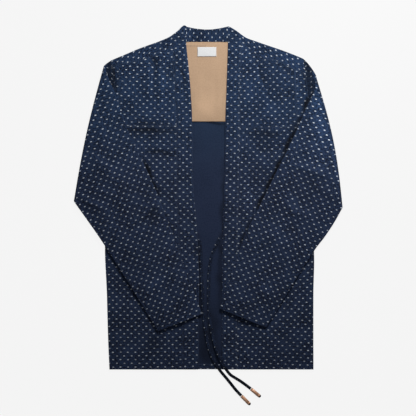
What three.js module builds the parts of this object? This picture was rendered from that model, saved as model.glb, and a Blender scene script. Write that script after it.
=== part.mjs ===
// A noragi jacket laid flat: back with a yoke that wraps over the shoulders, two fronts with yokes,
// a folded collar band round the neck and down the open front, two wide sleeves turned over onto the
// fronts, and a pair of flat ties with metal ends.
// Millimetres. +X is the wearer's left, +Y points from the hem to the collar, +Z up from the table.
// The origin is the middle of the jacket's outline, at table height.
import * as THREE from "three";

const { lerp, clamp, smoothstep } = THREE.MathUtils;

// ---------------------------------------------------------------- driving sizes
const CLOTH = 1.2; // one layer of the woven cotton
const LINING = 1.0; // the thinner yoke lining and the label
const BAND = 2.6; // the collar band, folded double over its interlining
const BAND_ROUNDING = 0.45; // share of that thickness lost at its edges
const GAP = 0.3; // between pieces at a seam and between layers
const CURVED_GAP = 1; // the same along curved seams, whose two sides have different facets
const HEM_Y = -395.4; // lower edge of the body
const HEM_TURN = 12.5; // depth of the hem turned up inside the back
const BACK_SEAM_Y = 173.8; // back yoke to back
const NECK_Y = 357.4; // seam of the back neck
const UNDERARM_Y = 37.7;
const BAND_END_Y = 46; // lower end of the armhole bands, above the underarm
const YOKE_HALF = 196; // half width over which the yoke lining lifts what lies on it
const SLEEVE_FOLD_Z = 3.8; // height of the axis that each sleeve is turned over about
const SLEEVE_PUFF = 3.6; // how far the upper layer of a turned sleeve stands off the lower one
const TIE = { width: 7, thickness: 2, sides: 8, steps: 34 };
const AGLET = { length: 25, radius: 4, bore: 2.6, boreDepth: 2, flatten: 0.72, sides: 12 };
const LABEL = { width: 43, height: 21.5, x: -2.5, y: 334.6 };

const LAYER = CLOTH + GAP; // height of the second layer's underside
const YOKE_LIFT = LINING + GAP; // what the lining adds under the front yokes
const HEM_LIFT = LAYER; // what the turned hem adds under the fronts
const RISE = 18; // length over which cloth climbs onto what lies under it
const CLEAR = 24; // and how far before its edge the climb is over

// ---------------------------------------------------------------- the outline, by side
// Edge tables have the columns [y, x]: where an edge lies at each height of the laid-out jacket.
// Line tables have the columns [x, y]: a line that runs across it.
const SIDES = {
  right: {
    side: -1,
    yokeSeamY: 164.2,
    opening: [[-395.4, -22.2], [-268, -20.9], [-132, -21.6], [-68, -25.9], [5, -32], [49, -34.5],
      [176, -36.4], [241, -39.6], [300, -44.6], [357, -50.2], [392, -49.4]],
    collarSeam: [[-395.4, -58.6], [-268, -58.6], [-144, -65.5], [-6, -71.3], [109, -72.4],
      [201, -73.6], [270, -77], [323, -79.2], [372.6, -82.8], [396, -82.8]],
    armhole: [[37.7, -231.8], [132, -217.3], [235, -214.4], [274, -217.8], [315, -223.1]],
    bandInner: [[46, -222], [132, -207], [235, -203.5], [316, -203.5]],
    sideSeam: [[-395.4, -226.4], [-321, -229.8], [-219, -232.6], [-111, -236.9], [37.7, -230.2]],
    shoulder: [[-223.1, 315], [-208, 321.3], [-185, 330.8], [-162, 340.6], [-139, 349.2],
      [-116, 357.3], [-93, 366.8], [-82.8, 372.6]],
    forwardSeam: [[-223.1, 299.5], [-214.4, 302.9], [-176.2, 310.7], [-146.3, 317.2], [-122.4, 325.7],
      [-110.4, 334], [-91.3, 341.3], [-78, 347]],
    collarTop: [[-82.8, 372.6], [-70.1, 382], [-58.6, 393.2], [-54.5, 395.3], [-49, 393]],
    sleeve: {
      foldTop: [-239.2, 302.2],
      foldBottom: [-308.2, -8.3],
      bow: 5.5,
      topBefore: [[-223.1, 315], [-232, 308.8], [-239.2, 302.2]],
      topAfter: [[-239.2, 302.2], [-288.4, 256.7], [-344.5, 196.6], [-439.1, 119.1], [-487.4, 75.7],
        [-684.9, -118.7]],
      underBefore: [[-231.8, 37.7], [-308.2, -8.3]],
      underAfter: [[-308.2, -8.3], [-414.7, -69.9], [-610, -196.9]],
    },
  },
  left: {
    side: 1,
    yokeSeamY: 161.2,
    opening: [[-395.4, 32.2], [-259, 32.2], [-86, 33.3], [17, 36.8], [176, 39.8], [270, 43.2],
      [357, 46], [392, 46]],
    collarSeam: [[-395.4, 66.7], [-213, 66.7], [-98, 67.8], [17, 70.1], [155, 72.4], [247, 72.4],
      [339, 75.2], [375.6, 75], [396, 75]],
    armhole: [[37.7, 230], [132, 231.4], [228.6, 231.6], [281.5, 225.4], [318.6, 219.6]],
    bandInner: [[46, 219], [132, 207], [224, 201.9], [319.5, 197.5]],
    sideSeam: [[-395.4, 242.3], [-218, 242.4], [-123, 243.6], [37.7, 227.8]],
    shoulder: [[75, 375.6], [88.5, 366.8], [111.5, 358.4], [134.5, 350.4], [165.6, 339.8],
      [192, 330], [210, 322.8], [219.6, 318.6]],
    forwardSeam: [[73, 358], [85.6, 349.1], [97.5, 337.2], [111.8, 325.2], [134.5, 318.1],
      [159.6, 313.3], [177.6, 303.6], [195.5, 295.3], [213.4, 286.1], [226, 281.5]],
    collarTop: [[46, 393.2], [51, 391.3], [63.2, 384], [75, 375.6]],
    sleeve: {
      foldTop: [250.7, 270],
      foldBottom: [309.2, -22.4],
      bow: 9.3,
      topBefore: [[219.6, 318.6], [227.5, 310.8], [238.6, 296.4], [247.3, 281.5], [250.7, 270]],
      topAfter: [[250.7, 270], [283, 234.5], [313, 206], [357, 163.5], [411.2, 117.3], [466.7, 68.1],
        [544.6, 0.7], [659.4, -128.8]],
      underBefore: [[230, 37.7], [309.2, -22.4]],
      underAfter: [[309.2, -22.4], [342.5, -48.5], [374, -69.5], [407.3, -89], [577.5, -210.2]],
    },
  },
};
const BACK_COLLAR_TOP = [[-50, 392.2], [-26.4, 388], [0, 386], [21.8, 388.1], [46, 392.6]];
const NECK_CORNERS = [-52, 48]; // x of the back neck's two corners, under the collar

// Soft ridges that stand on the upper layers: from (x0, y0) to (x1, y1), half width, height.
const CREASES = {
  front_yoke_right: [
    { x0: -103, y0: 318, x1: -106, y1: 205, width: 11, height: 2.6 },
    { x0: -136, y0: 305, x1: -131, y1: 225, width: 10, height: 2.0 },
    { x0: -170, y0: 185, x1: -95, y1: 180, width: 9, height: 1.6 },
  ],
  front_yoke_left: [
    { x0: 93, y0: 322, x1: 150, y1: 180, width: 10, height: 2.8 },
    { x0: 92, y0: 262, x1: 104, y1: 205, width: 11, height: 2.0 },
    { x0: 165, y0: 262, x1: 186, y1: 200, width: 11, height: 0.6 },
  ],
  front_right: [
    { x0: -150, y0: 122, x1: -82, y1: 118, width: 10, height: 1.6 },
    { x0: -120, y0: 60, x1: -82, y1: 48, width: 9, height: 1.4 },
    { x0: -205, y0: -330, x1: -120, y1: -300, width: 16, height: 1.6 },
    { x0: -96, y0: -300, x1: -84, y1: -376, width: 11, height: 1.6 },
  ],
  front_left: [
    { x0: 88, y0: 120, x1: 150, y1: 60, width: 13, height: 1.5 },
    { x0: 88, y0: 12, x1: 108, y1: -40, width: 12, height: 1.5 },
    { x0: 100, y0: -290, x1: 180, y1: -352, width: 15, height: 1.8 },
    { x0: 150, y0: -300, x1: 215, y1: -330, width: 14, height: 1.4 },
  ],
  sleeve_right: [
    { x0: -292, y0: 6, x1: -238, y1: -30, width: 12, height: 3.2 },
    { x0: -262, y0: 90, x1: -214, y1: 40, width: 16, height: 2.4 },
    { x0: -180, y0: -60, x1: -120, y1: -20, width: 13, height: 2.0 },
    { x0: -140, y0: -215, x1: -84, y1: -160, width: 12, height: 2.4 },
    { x0: -68, y0: -244, x1: -40, y1: -190, width: 10, height: 1.8 },
  ],
  sleeve_left: [
    { x0: 196, y0: 112, x1: 288, y1: 88, width: 13, height: 3.2 },
    { x0: 206, y0: 52, x1: 262, y1: 64, width: 11, height: 2.4 },
    { x0: 170, y0: -8, x1: 236, y1: -52, width: 15, height: 2.6 },
    { x0: 120, y0: -110, x1: 176, y1: -70, width: 14, height: 2.0 },
    { x0: 108, y0: -190, x1: 150, y1: -230, width: 12, height: 2.2 },
  ],
};

// The ties' middle lines, columns [x, y, z], from the collar band to the metal end.
const TIE_ROUTES = {
  tie_right: [[-19.4, -96, 2.6], [-17.8, -112, 2.5], [-16.6, -130, 2.5], [-15.8, -149, 2.5],
    [-14.7, -176, 2.5], [-13.3, -206, 2.5], [-11.8, -236, 2.5], [-10.2, -263.6, 2.5],
    [-7.9, -286.6, 2.5], [-4.6, -311.9, 2.5], [-0.6, -334.9, 2.5], [4.2, -353.3, 2.6],
    [11, -370, 3.6], [19, -384, 4.3], [26.8, -396.5, 4.1], [33.6, -405.5, 2.2], [41.2, -414.5, 1.2],
    [51.7, -427.5, 1.1], [63.2, -441.8, 1.3], [76.3, -455.7, 2.6]],
  tie_left: [[26.6, -94.5, 2.6], [19.1, -109.5, 2.5], [12, -125.6, 2.5], [6.7, -144, 2.5],
    [3.7, -164.7, 2.5], [2.1, -190, 2.5], [1.4, -217.6, 2.5], [1.6, -245.2, 2.5],
    [3.2, -272.8, 2.5], [6.9, -300.4, 2.6], [12, -323.4, 3.0], [18, -344.1, 4.4],
    [25.4, -363.6, 6.5], [33.8, -380.9, 7.1], [41.2, -394, 7.2], [46.4, -401.4, 6.2],
    [52, -408, 3.4], [61, -414.2, 1.5], [73, -421.6, 1.2], [86.2, -430.9, 1.4], [98.1, -439.8, 2.7]],
};
const AGLETS = {
  aglet_right: { x: 76.9, y: -456.4, z: 2.9, towards: [18.7, -18.7] },
  aglet_left: { x: 98.8, y: -440.3, z: 2.9, towards: [20.4, -17.1] },
};

// ---------------------------------------------------------------- materials
const cloth = (color, roughness = 0.92) => new THREE.MeshStandardMaterial({ color, roughness });
const MATERIALS = {
  indigo: cloth(0x2a3a54),
  tan: cloth(0xbc9e82, 0.9),
  label: cloth(0xe9e9e7, 0.8),
  copper: new THREE.MeshStandardMaterial({ color: 0xb98563, roughness: 0.35, metalness: 1 }),
};

// ---------------------------------------------------------------- helpers
/** A smooth function through rows [s, value], by cubic Hermite pieces; it is level past its ends. */
function through(rows) {
  const slope = (i) => {
    const a = rows[Math.max(i - 1, 0)];
    const b = rows[Math.min(i + 1, rows.length - 1)];
    return (b[1] - a[1]) / (b[0] - a[0]);
  };
  return (s) => {
    if (s <= rows[0][0]) return rows[0][1];
    if (s >= rows[rows.length - 1][0]) return rows[rows.length - 1][1];
    const i = rows.findIndex((row) => row[0] >= s) - 1;
    const span = rows[i + 1][0] - rows[i][0];
    const t = (s - rows[i][0]) / span;
    return (
      rows[i][1] * (2 * t ** 3 - 3 * t ** 2 + 1) +
      rows[i + 1][1] * (3 * t ** 2 - 2 * t ** 3) +
      slope(i) * span * (t ** 3 - 2 * t ** 2 + t) +
      slope(i + 1) * span * (t ** 3 - t ** 2)
    );
  };
}

/** A plan curve through rows [x, y], walked by its own length: t from 0 to 1 gives a point. */
function planCurve(rows) {
  const curve = new THREE.CatmullRomCurve3(rows.map(([x, y]) => new THREE.Vector3(x, y, 0)));
  return (t) => curve.getPointAt(clamp(t, 0, 1));
}

/** A mesh geometry from vertices and triangles, turned so that its faces point out. */
function closedGeometry(vertices, triangles) {
  let volume = 0;
  const cross = new THREE.Vector3();
  for (const [a, b, c] of triangles)
    volume += vertices[a].dot(cross.crossVectors(vertices[b], vertices[c]));
  const index = triangles.flatMap(([a, b, c]) => (volume < 0 ? [a, c, b] : [a, b, c]));
  return new THREE.BufferGeometry().setFromPoints(vertices).setIndex(index);
}

/** A wall of cloth over a grid of columns and rows. at(i, j) gives its middle point, the normal of
 * one face and its thickness there; keep(i, j) says which cells of the grid are cloth. */
function wall(columns, rows, at, keep = () => true) {
  const vertices = [];
  for (let j = 0; j <= rows; j++)
    for (let i = 0; i <= columns; i++) {
      const { point, normal, thickness } = at(i, j);
      vertices.push(point.clone().addScaledVector(normal, thickness / 2));
      vertices.push(point.clone().addScaledVector(normal, -thickness / 2));
    }
  const id = (i, j, face) => 2 * (j * (columns + 1) + i) + face;
  const isCloth = (i, j) => i >= 0 && j >= 0 && i < columns && j < rows && keep(i, j);
  const triangles = [];
  const quad = (a, b, c, d) => triangles.push([a, b, c], [a, c, d]);
  for (let j = 0; j < rows; j++)
    for (let i = 0; i < columns; i++) {
      if (!isCloth(i, j)) continue;
      quad(id(i, j, 0), id(i + 1, j, 0), id(i + 1, j + 1, 0), id(i, j + 1, 0));
      quad(id(i, j, 1), id(i, j + 1, 1), id(i + 1, j + 1, 1), id(i + 1, j, 1));
      const edges = [
        [isCloth(i, j - 1), i, j, i + 1, j],
        [isCloth(i + 1, j), i + 1, j, i + 1, j + 1],
        [isCloth(i, j + 1), i + 1, j + 1, i, j + 1],
        [isCloth(i - 1, j), i, j + 1, i, j],
      ];
      for (const [joined, i0, j0, i1, j1] of edges)
        if (!joined) quad(id(i0, j0, 0), id(i0, j0, 1), id(i1, j1, 1), id(i1, j1, 0));
    }
  return closedGeometry(vertices, triangles);
}

const UP = new THREE.Vector3(0, 0, 1);

/** A wall that lies flat: plan(u, v) places it, underside(x, y) lifts it, and its thickness is a
 * number or a function of u and v. */
function plate(columns, rows, plan, underside, thickness) {
  return wall(columns, rows, (i, j) => {
    const u = i / columns;
    const v = j / rows;
    const { x, y } = plan(u, v);
    const t = typeof thickness === "function" ? thickness(u, v) : thickness;
    return { point: new THREE.Vector3(x, y, underside(x, y) + t / 2), normal: UP, thickness: t };
  });
}

/** Height at (x, y) of soft ridges, each a bell across a line with rounded ends. */
function ridges(rows, x, y) {
  let height = 0;
  for (const { x0, y0, x1, y1, width, height: top } of rows) {
    const reach = (x - x0) * (x1 - x0) + (y - y0) * (y1 - y0);
    const along = clamp(reach / ((x1 - x0) ** 2 + (y1 - y0) ** 2), 0, 1);
    const away = Math.hypot(x - lerp(x0, x1, along), y - lerp(y0, y1, along));
    height += top * Math.exp(-((away / width) ** 2)) * (0.45 + 0.55 * Math.sin(Math.PI * along));
  }
  return height;
}

/** Underside of what lies on the back: up over the yoke lining and over the turned hem. */
function onBack(x, y) {
  const clearOfHem = HEM_Y + HEM_TURN + CLEAR;
  const overLining = smoothstep(y, BACK_SEAM_Y - CLEAR - RISE, BACK_SEAM_Y - CLEAR);
  const besideLining = smoothstep(Math.abs(x), YOKE_HALF, YOKE_HALF + RISE);
  const overHem = 1 - smoothstep(y, clearOfHem, clearOfHem + RISE);
  return LAYER + YOKE_LIFT * overLining * (1 - besideLining) + HEM_LIFT * overHem;
}

/** A plan for a panel between two edges x(y), from a level lower edge up to a line y(x). */
function panelPlan(edgeA, edgeB, bottomY, topLine) {
  const topOf = (u) => {
    let y = topLine(0.5 * (edgeA(bottomY) + edgeB(bottomY)));
    for (let k = 0; k < 6; k++) y = topLine(lerp(edgeA(y), edgeB(y), u));
    return y;
  };
  return (u, v) => {
    const y = lerp(bottomY, topOf(u), v);
    return { x: lerp(edgeA(y), edgeB(y), u), y };
  };
}

/** A wall whose last edge is turned over onto its own upper side. plan(u, v) ends at v = 1 on the
 * turned edge; turnTo(u) is the v where the turned part ends; hasTurn(i) says which columns turn. */
function turnedWall({ columns, flatRows, turnRows, plan, turnTo, second, hasTurn = () => true }) {
  const ARC = 6;
  return wall(
    columns,
    flatRows + ARC + turnRows,
    (i, j) => {
      const u = i / columns;
      const edge = plan(u, 1);
      const inside = plan(u, 0.98);
      const out = new THREE.Vector3(edge.x - inside.x, edge.y - inside.y, 0);
      const length = out.length() / 0.02;
      out.normalize();
      const upper = second(edge.x, edge.y) + CLOTH / 2;
      const radius = (upper - CLOTH / 2) / 2;
      const start = hasTurn(i) ? 1 - (radius + CLOTH / 2) / length : 1;
      if (j <= flatRows) {
        const { x, y } = plan(u, (start * j) / flatRows);
        return { point: new THREE.Vector3(x, y, CLOTH / 2), normal: UP, thickness: CLOTH };
      }
      if (j <= flatRows + ARC) {
        const angle = (Math.PI * (j - flatRows)) / ARC;
        const { x, y } = plan(u, start);
        const spoke = out.clone().multiplyScalar(Math.sin(angle)).addScaledVector(UP, -Math.cos(angle));
        const centre = new THREE.Vector3(x, y, CLOTH / 2 + radius);
        return { point: centre.addScaledVector(spoke, radius), normal: spoke.negate(), thickness: CLOTH };
      }
      const { x, y } = plan(u, lerp(start, turnTo(u), (j - flatRows - ARC) / turnRows));
      const z = second(x, y) + CLOTH / 2;
      return { point: new THREE.Vector3(x, y, z), normal: UP.clone().negate(), thickness: CLOTH };
    },
    (i, j) => j < flatRows || (hasTurn(i) && hasTurn(i + 1)),
  );
}

const jacket = new THREE.Group();

function add(name, geometry, material) {
  const mesh = new THREE.Mesh(geometry, material);
  mesh.name = name;
  jacket.add(mesh);
}

// The tables as functions, and the edges of the body on each side.
const edges = {};
for (const [name, rows] of Object.entries(SIDES)) {
  const armhole = through(rows.armhole);
  const sideSeam = through(rows.sideSeam);
  const inset = -rows.side * 2 * GAP;
  edges[name] = {
    opening: through(rows.opening),
    collarSeam: through(rows.collarSeam),
    bandInner: through(rows.bandInner),
    shoulder: through(rows.shoulder),
    forwardSeam: through(rows.forwardSeam),
    armhole,
    body: (y) => (y > UNDERARM_Y ? armhole(y) : sideSeam(y)) + inset,
    inset,
  };
}

// ---------------------------------------------------------------- back yoke, back, lining, label
const SHOULDER_COLUMNS = 9;
// Columns over the right shoulder, its neck corner, the neck, the left corner and the left shoulder.
const COLUMN_COUNTS = [SHOULDER_COLUMNS, 1, 6, 1, SHOULDER_COLUMNS];
const YOKE_COLUMNS = COLUMN_COUNTS.reduce((sum, count) => sum + count);

/** x of the back yoke's column i along a line with the given breaks, from the right arm to the left. */
function yokeColumn(i, breaks) {
  let first = 0;
  for (const [k, count] of COLUMN_COUNTS.entries()) {
    if (i <= first + count) return lerp(breaks[k], breaks[k + 1], (i - first) / count);
    first += count;
  }
  return breaks.at(-1);
}

const { right, left } = edges;
const rightArmEnd = SIDES.right.shoulder[0][0] + GAP;
const leftArmEnd = SIDES.left.shoulder.at(-1)[0] - GAP;
const rightNeckEnd = SIDES.right.shoulder.at(-1)[0] - CURVED_GAP;
const leftNeckEnd = SIDES.left.shoulder[0][0] + CURVED_GAP;

/** The upper edge of the back yoke: both shoulders and the straight back neck between them. */
function yokeTop(x) {
  const [rightCorner, leftCorner] = NECK_CORNERS;
  const neckY = NECK_Y - GAP;
  if (x <= rightNeckEnd) return right.shoulder(x);
  if (x >= leftNeckEnd) return left.shoulder(x);
  if (x < rightCorner) {
    const along = (x - rightNeckEnd) / (rightCorner - rightNeckEnd);
    return lerp(right.shoulder(rightNeckEnd), neckY, along);
  }
  if (x > leftCorner) {
    const along = (leftNeckEnd - x) / (leftNeckEnd - leftCorner);
    return lerp(left.shoulder(leftNeckEnd), neckY, along);
  }
  return neckY;
}

function yokePlan(u, v) {
  const i = u * YOKE_COLUMNS;
  const bottomY = BACK_SEAM_Y + GAP / 2;
  const rightSeam = right.collarSeam(bottomY) - CURVED_GAP;
  const leftSeam = left.collarSeam(bottomY) + CURVED_GAP;
  const topX = yokeColumn(i, [rightArmEnd, rightNeckEnd, ...NECK_CORNERS, leftNeckEnd, leftArmEnd]);
  const bottomX = yokeColumn(i, [
    right.body(bottomY),
    rightSeam,
    lerp(rightSeam, leftSeam, 0.15),
    lerp(rightSeam, leftSeam, 0.85),
    leftSeam,
    left.body(bottomY),
  ]);
  const y = lerp(bottomY, yokeTop(topX), v);
  // The outer columns follow the curved armholes, and the curve fades towards the neck.
  const fromRight = clamp(1 - i / SHOULDER_COLUMNS, 0, 1);
  const fromLeft = clamp(1 - (YOKE_COLUMNS - i) / SHOULDER_COLUMNS, 0, 1);
  const bow =
    fromRight * (right.body(y) - lerp(right.body(bottomY), rightArmEnd, v)) +
    fromLeft * (left.body(y) - lerp(left.body(bottomY), leftArmEnd, v));
  return { x: lerp(bottomX, topX, v) + bow, y };
}

/** The v of the back yoke's plan where its column u meets the forward shoulder seam. */
function forwardTurn(u) {
  let v = 0.9;
  for (let k = 0; k < 8; k++) {
    const { x } = yokePlan(u, v);
    const seamY = (x < 0 ? right : left).forwardSeam(x);
    v = (seamY - yokePlan(u, 0).y) / (yokePlan(u, 1).y - yokePlan(u, 0).y);
  }
  return v;
}

add(
  "back_yoke",
  turnedWall({
    columns: YOKE_COLUMNS,
    flatRows: 6,
    turnRows: 3,
    plan: yokePlan,
    turnTo: forwardTurn,
    second: onBack,
    hasTurn: (i) => i <= SHOULDER_COLUMNS || i >= YOKE_COLUMNS - SHOULDER_COLUMNS,
  }),
  MATERIALS.indigo,
);

add(
  "back",
  turnedWall({
    columns: 10,
    flatRows: 14,
    turnRows: 2,
    plan: (u, v) => {
      const y = lerp(BACK_SEAM_Y - GAP / 2, HEM_Y, v);
      return { x: lerp(right.body(y), left.body(y), u), y };
    },
    turnTo: () => 1 - HEM_TURN / (BACK_SEAM_Y - HEM_Y),
    second: () => LAYER,
  }),
  MATERIALS.indigo,
);

// The lining stops short of the shoulder folds, and meets the collar at the neck.
const LINING_SKIPS = 2; // the yoke's columns that it leaves bare at each arm
const SHOULDER_FOLD = 7; // how far below the shoulder folds it ends
const liningColumns = YOKE_COLUMNS - 2 * LINING_SKIPS;
add(
  "yoke_lining",
  plate(
    liningColumns,
    6,
    (u, v) => {
      const i = LINING_SKIPS + u * liningColumns;
      const overNeck = i > SHOULDER_COLUMNS + 0.5 && i < YOKE_COLUMNS - SHOULDER_COLUMNS - 0.5;
      const top = yokePlan(i / YOKE_COLUMNS, 1);
      const bottom = yokePlan(i / YOKE_COLUMNS, 0);
      const inset = overNeck ? GAP : SHOULDER_FOLD;
      return yokePlan(i / YOKE_COLUMNS, lerp(0.004, 1 - inset / (top.y - bottom.y), v));
    },
    () => LAYER,
    LINING,
  ),
  MATERIALS.tan,
);

add(
  "label",
  plate(
    4,
    2,
    (u, v) => ({ x: LABEL.x + (u - 0.5) * LABEL.width, y: LABEL.y + (v - 0.5) * LABEL.height }),
    () => LAYER + LINING + GAP,
    LINING,
  ),
  MATERIALS.label,
);

// ---------------------------------------------------------------- fronts, bands and collar
/** The collar band's thickness across it: full in the middle, rounded to its two edges. */
const bandThickness = (u) => BAND * (1 - BAND_ROUNDING * (2 * Math.abs(u - 0.5)) ** 4);

for (const [name, rows] of Object.entries(SIDES)) {
  const edge = edges[name];
  const seam = (y) => edge.collarSeam(y) - edge.inset;
  const bandInner = (y) => edge.bandInner(y) + edge.inset;
  const forward = (x) => edge.forwardSeam(x) - CURVED_GAP;
  const creased = (piece) => (x, y) => onBack(x, y) + ridges(CREASES[piece], x, y);

  add(
    `front_yoke_${name}`,
    plate(
      10,
      10,
      panelPlan(bandInner, seam, rows.yokeSeamY + GAP / 2, forward),
      creased(`front_yoke_${name}`),
      CLOTH,
    ),
    MATERIALS.indigo,
  );

  // Below the armhole band, the front's outer edge swings out to the side seam.
  const swing = (y) => smoothstep(y, UNDERARM_Y - RISE, BAND_END_Y);
  const outer = (y) => (y > BAND_END_Y ? bandInner(y) : lerp(edge.body(y), bandInner(BAND_END_Y), swing(y)));
  add(
    `front_${name}`,
    plate(
      10,
      24,
      panelPlan(outer, seam, HEM_Y, () => rows.yokeSeamY - GAP / 2),
      creased(`front_${name}`),
      CLOTH,
    ),
    MATERIALS.indigo,
  );

  add(
    `armhole_band_${name}`,
    plate(2, 14, panelPlan(edge.body, edge.bandInner, BAND_END_Y, forward), onBack, CLOTH),
    MATERIALS.indigo,
  );

  add(
    `collar_${name}`,
    plate(
      5,
      30,
      panelPlan(edge.collarSeam, edge.opening, HEM_Y, through(rows.collarTop)),
      onBack,
      bandThickness,
    ),
    MATERIALS.indigo,
  );
}

// The back of the collar lies on the table, above the neck seam.
const collarBackPlan = panelPlan(
  (y) => right.opening(y) + GAP,
  (y) => left.opening(y) - GAP,
  NECK_Y,
  through(BACK_COLLAR_TOP),
);
add(
  "collar_back",
  plate(12, 4, collarBackPlan, () => 0, (u, v) => BAND * (1 - BAND_ROUNDING * v ** 4)),
  MATERIALS.indigo,
);

// ---------------------------------------------------------------- sleeves
const SLEEVE_ACROSS = 7; // segments across each flat layer
const STEPS_BEFORE_FOLD = [0, 0.4, 0.8, 0.88, 0.94, 0.97, 1]; // shares of the way from armhole to fold
const STEPS_AFTER_FOLD = [0.004, 0.008, 0.012, 0.018, 0.032]; // and from the fold to the cuff
const PLAIN_STEPS = 12;
const BOW_WIDTH = 26; // how far from the fold its outward bow fades
const PUFF_START = 0.02; // shares of the turned sleeve's length over which the upper layer rises
const PUFF_END = 0.12;
const PUFF_ROUNDNESS = 0.8; // below 1, the rise is steeper at the edges and flatter in the middle
// The flat sleeve spends this much of its length on the roll, so the turned part mirrors the flat one.
const ROLL_LENGTH = 2 * SLEEVE_FOLD_Z;

/** A flattened tube of cloth, laid out flat and then turned over about its fold line. */
function sleeve(name, rows, creases) {
  const { sleeve: s, side } = rows;
  const parts = [
    { top: planCurve(s.topBefore), under: planCurve(s.underBefore) },
    { top: planCurve(s.topAfter), under: planCurve(s.underAfter) },
  ];
  const armholeLine = edges[name].armhole;
  const foldTop = new THREE.Vector3(...s.foldTop, 0);
  const fold = new THREE.Vector3(...s.foldBottom, 0).sub(foldTop);
  const foldLength = fold.length();
  fold.normalize();
  const out = new THREE.Vector3(-fold.y, fold.x, 0).multiplyScalar(side);
  if (out.x * side < 0) out.negate();

  // The first rung is the armhole's own curve, and its bow is gone at the fold.
  const armholeTop = parts[0].top(0);
  const armholeFoot = parts[0].under(0);
  const armholeBow = (w) =>
    armholeLine(lerp(armholeTop.y, armholeFoot.y, w)) - lerp(armholeTop.x, armholeFoot.x, w);

  const rungs = STEPS_BEFORE_FOLD.map((t) => ({ part: 0, t }));
  for (const t of STEPS_AFTER_FOLD) rungs.push({ part: 1, t });
  for (let k = 1; k <= PLAIN_STEPS; k++)
    rungs.push({ part: 1, t: lerp(STEPS_AFTER_FOLD.at(-1), 1, k / PLAIN_STEPS) });

  // One layer's end arc has the tube's own radius; both walls turn about the same point.
  const tube = 2 * CLOTH + GAP;
  const pointsOfRing = (rung, wallInset) => {
    const { top, under } = parts[rung.part];
    const a = top(rung.t);
    const b = under(rung.t);
    const along = b.clone().sub(a);
    const width = along.length();
    along.normalize();
    const radius = tube / 2 - wallInset;
    const ring = [];
    const put = (distance, z, w) => {
      const flat = a.clone().addScaledVector(along, distance);
      if (rung.part === 0) flat.x += armholeBow(distance / width) * (1 - rung.t);
      ring.push(turnOver(flat, z, w, rung));
    };
    const inset = tube / 2;
    for (let k = 0; k <= SLEEVE_ACROSS; k++)
      put(lerp(inset, width - inset, k / SLEEVE_ACROSS), wallInset, k / SLEEVE_ACROSS);
    for (const angle of [-0.25, 0, 0.25])
      put(width - inset + radius * Math.cos(angle * Math.PI), inset + radius * Math.sin(angle * Math.PI), 1);
    for (let k = SLEEVE_ACROSS; k >= 0; k--)
      put(lerp(inset, width - inset, k / SLEEVE_ACROSS), tube - wallInset, k / SLEEVE_ACROSS);
    for (const angle of [0.75, 1, 1.25])
      put(inset + radius * Math.cos(angle * Math.PI), inset + radius * Math.sin(angle * Math.PI), 0);
    return ring;
  };

  /** Turns a point of the flat sleeve over about the fold, whose outermost line is the table's. */
  function turnOver(flat, z, w, rung) {
    const from = flat.clone().sub(foldTop);
    const along = from.dot(fold);
    const past = from.dot(out) + SLEEVE_FOLD_Z;
    const angle = Math.PI * clamp(past / ROLL_LENGTH, 0, 1);
    const radius = SLEEVE_FOLD_Z - z;
    const beyond = Math.min(past, 0) - Math.max(past - ROLL_LENGTH, 0);
    const across = radius * Math.sin(angle) + beyond - SLEEVE_FOLD_Z;
    const height = SLEEVE_FOLD_Z - radius * Math.cos(angle);
    const nearFold = Math.exp(-((across / BOW_WIDTH) ** 2));
    // The bow is nothing at the armhole, so that edge keeps to its own curve.
    const free = rung.part === 0 ? 1 - (1 - rung.t) ** 3 : 1;
    const bowed = s.bow * Math.sin(Math.PI * clamp(along / foldLength, 0, 1)) * nearFold * free;
    const point = foldTop.clone().addScaledVector(fold, along).addScaledVector(out, across + bowed);
    point.z = height;
    if (rung.part === 1) {
      // The upper layer was the flat sleeve's lower one. It stands off the other and takes the creases.
      const upper = 1 - smoothstep(z, CLOTH, CLOTH + GAP);
      const turned = smoothstep(rung.t, PUFF_START, PUFF_END);
      const middle = Math.sin(Math.PI * w) ** PUFF_ROUNDNESS;
      point.z += upper * turned * middle * (SLEEVE_PUFF + ridges(creases, point.x, point.y));
    }
    return point;
  }

  const vertices = [];
  let ringSize = 0;
  for (const rung of rungs)
    for (const inset of [0, CLOTH]) {
      const ring = pointsOfRing(rung, inset);
      ringSize = ring.length;
      vertices.push(...ring);
    }
  const id = (r, shell, k) => (2 * r + shell) * ringSize + (k % ringSize);
  const triangles = [];
  const quad = (a, b, c, d) => triangles.push([a, b, c], [a, c, d]);
  const last = rungs.length - 1;
  for (let k = 0; k < ringSize; k++) {
    for (let r = 0; r < last; r++) {
      quad(id(r, 0, k), id(r, 0, k + 1), id(r + 1, 0, k + 1), id(r + 1, 0, k));
      quad(id(r, 1, k), id(r + 1, 1, k), id(r + 1, 1, k + 1), id(r, 1, k + 1));
    }
    quad(id(0, 0, k), id(0, 1, k), id(0, 1, k + 1), id(0, 0, k + 1));
    quad(id(last, 0, k), id(last, 0, k + 1), id(last, 1, k + 1), id(last, 1, k));
  }
  return closedGeometry(vertices, triangles);
}

for (const [name, rows] of Object.entries(SIDES))
  add(`sleeve_${name}`, sleeve(name, rows, CREASES[`sleeve_${name}`]), MATERIALS.indigo);

// ---------------------------------------------------------------- ties
/** The flat oval section of a tie, its width along the second axis of the sweep. */
function tieSection() {
  const points = [];
  for (let k = 0; k < TIE.sides; k++) {
    const angle = (2 * Math.PI * (k + 0.5)) / TIE.sides;
    const stretch = 1 / Math.cos(Math.PI / TIE.sides);
    points.push(
      new THREE.Vector2(
        (TIE.thickness / 2) * clamp(Math.cos(angle) * stretch, -1, 1),
        (TIE.width / 2) * clamp(Math.sin(angle) * stretch, -1, 1),
      ),
    );
  }
  return new THREE.Shape(points);
}

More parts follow.
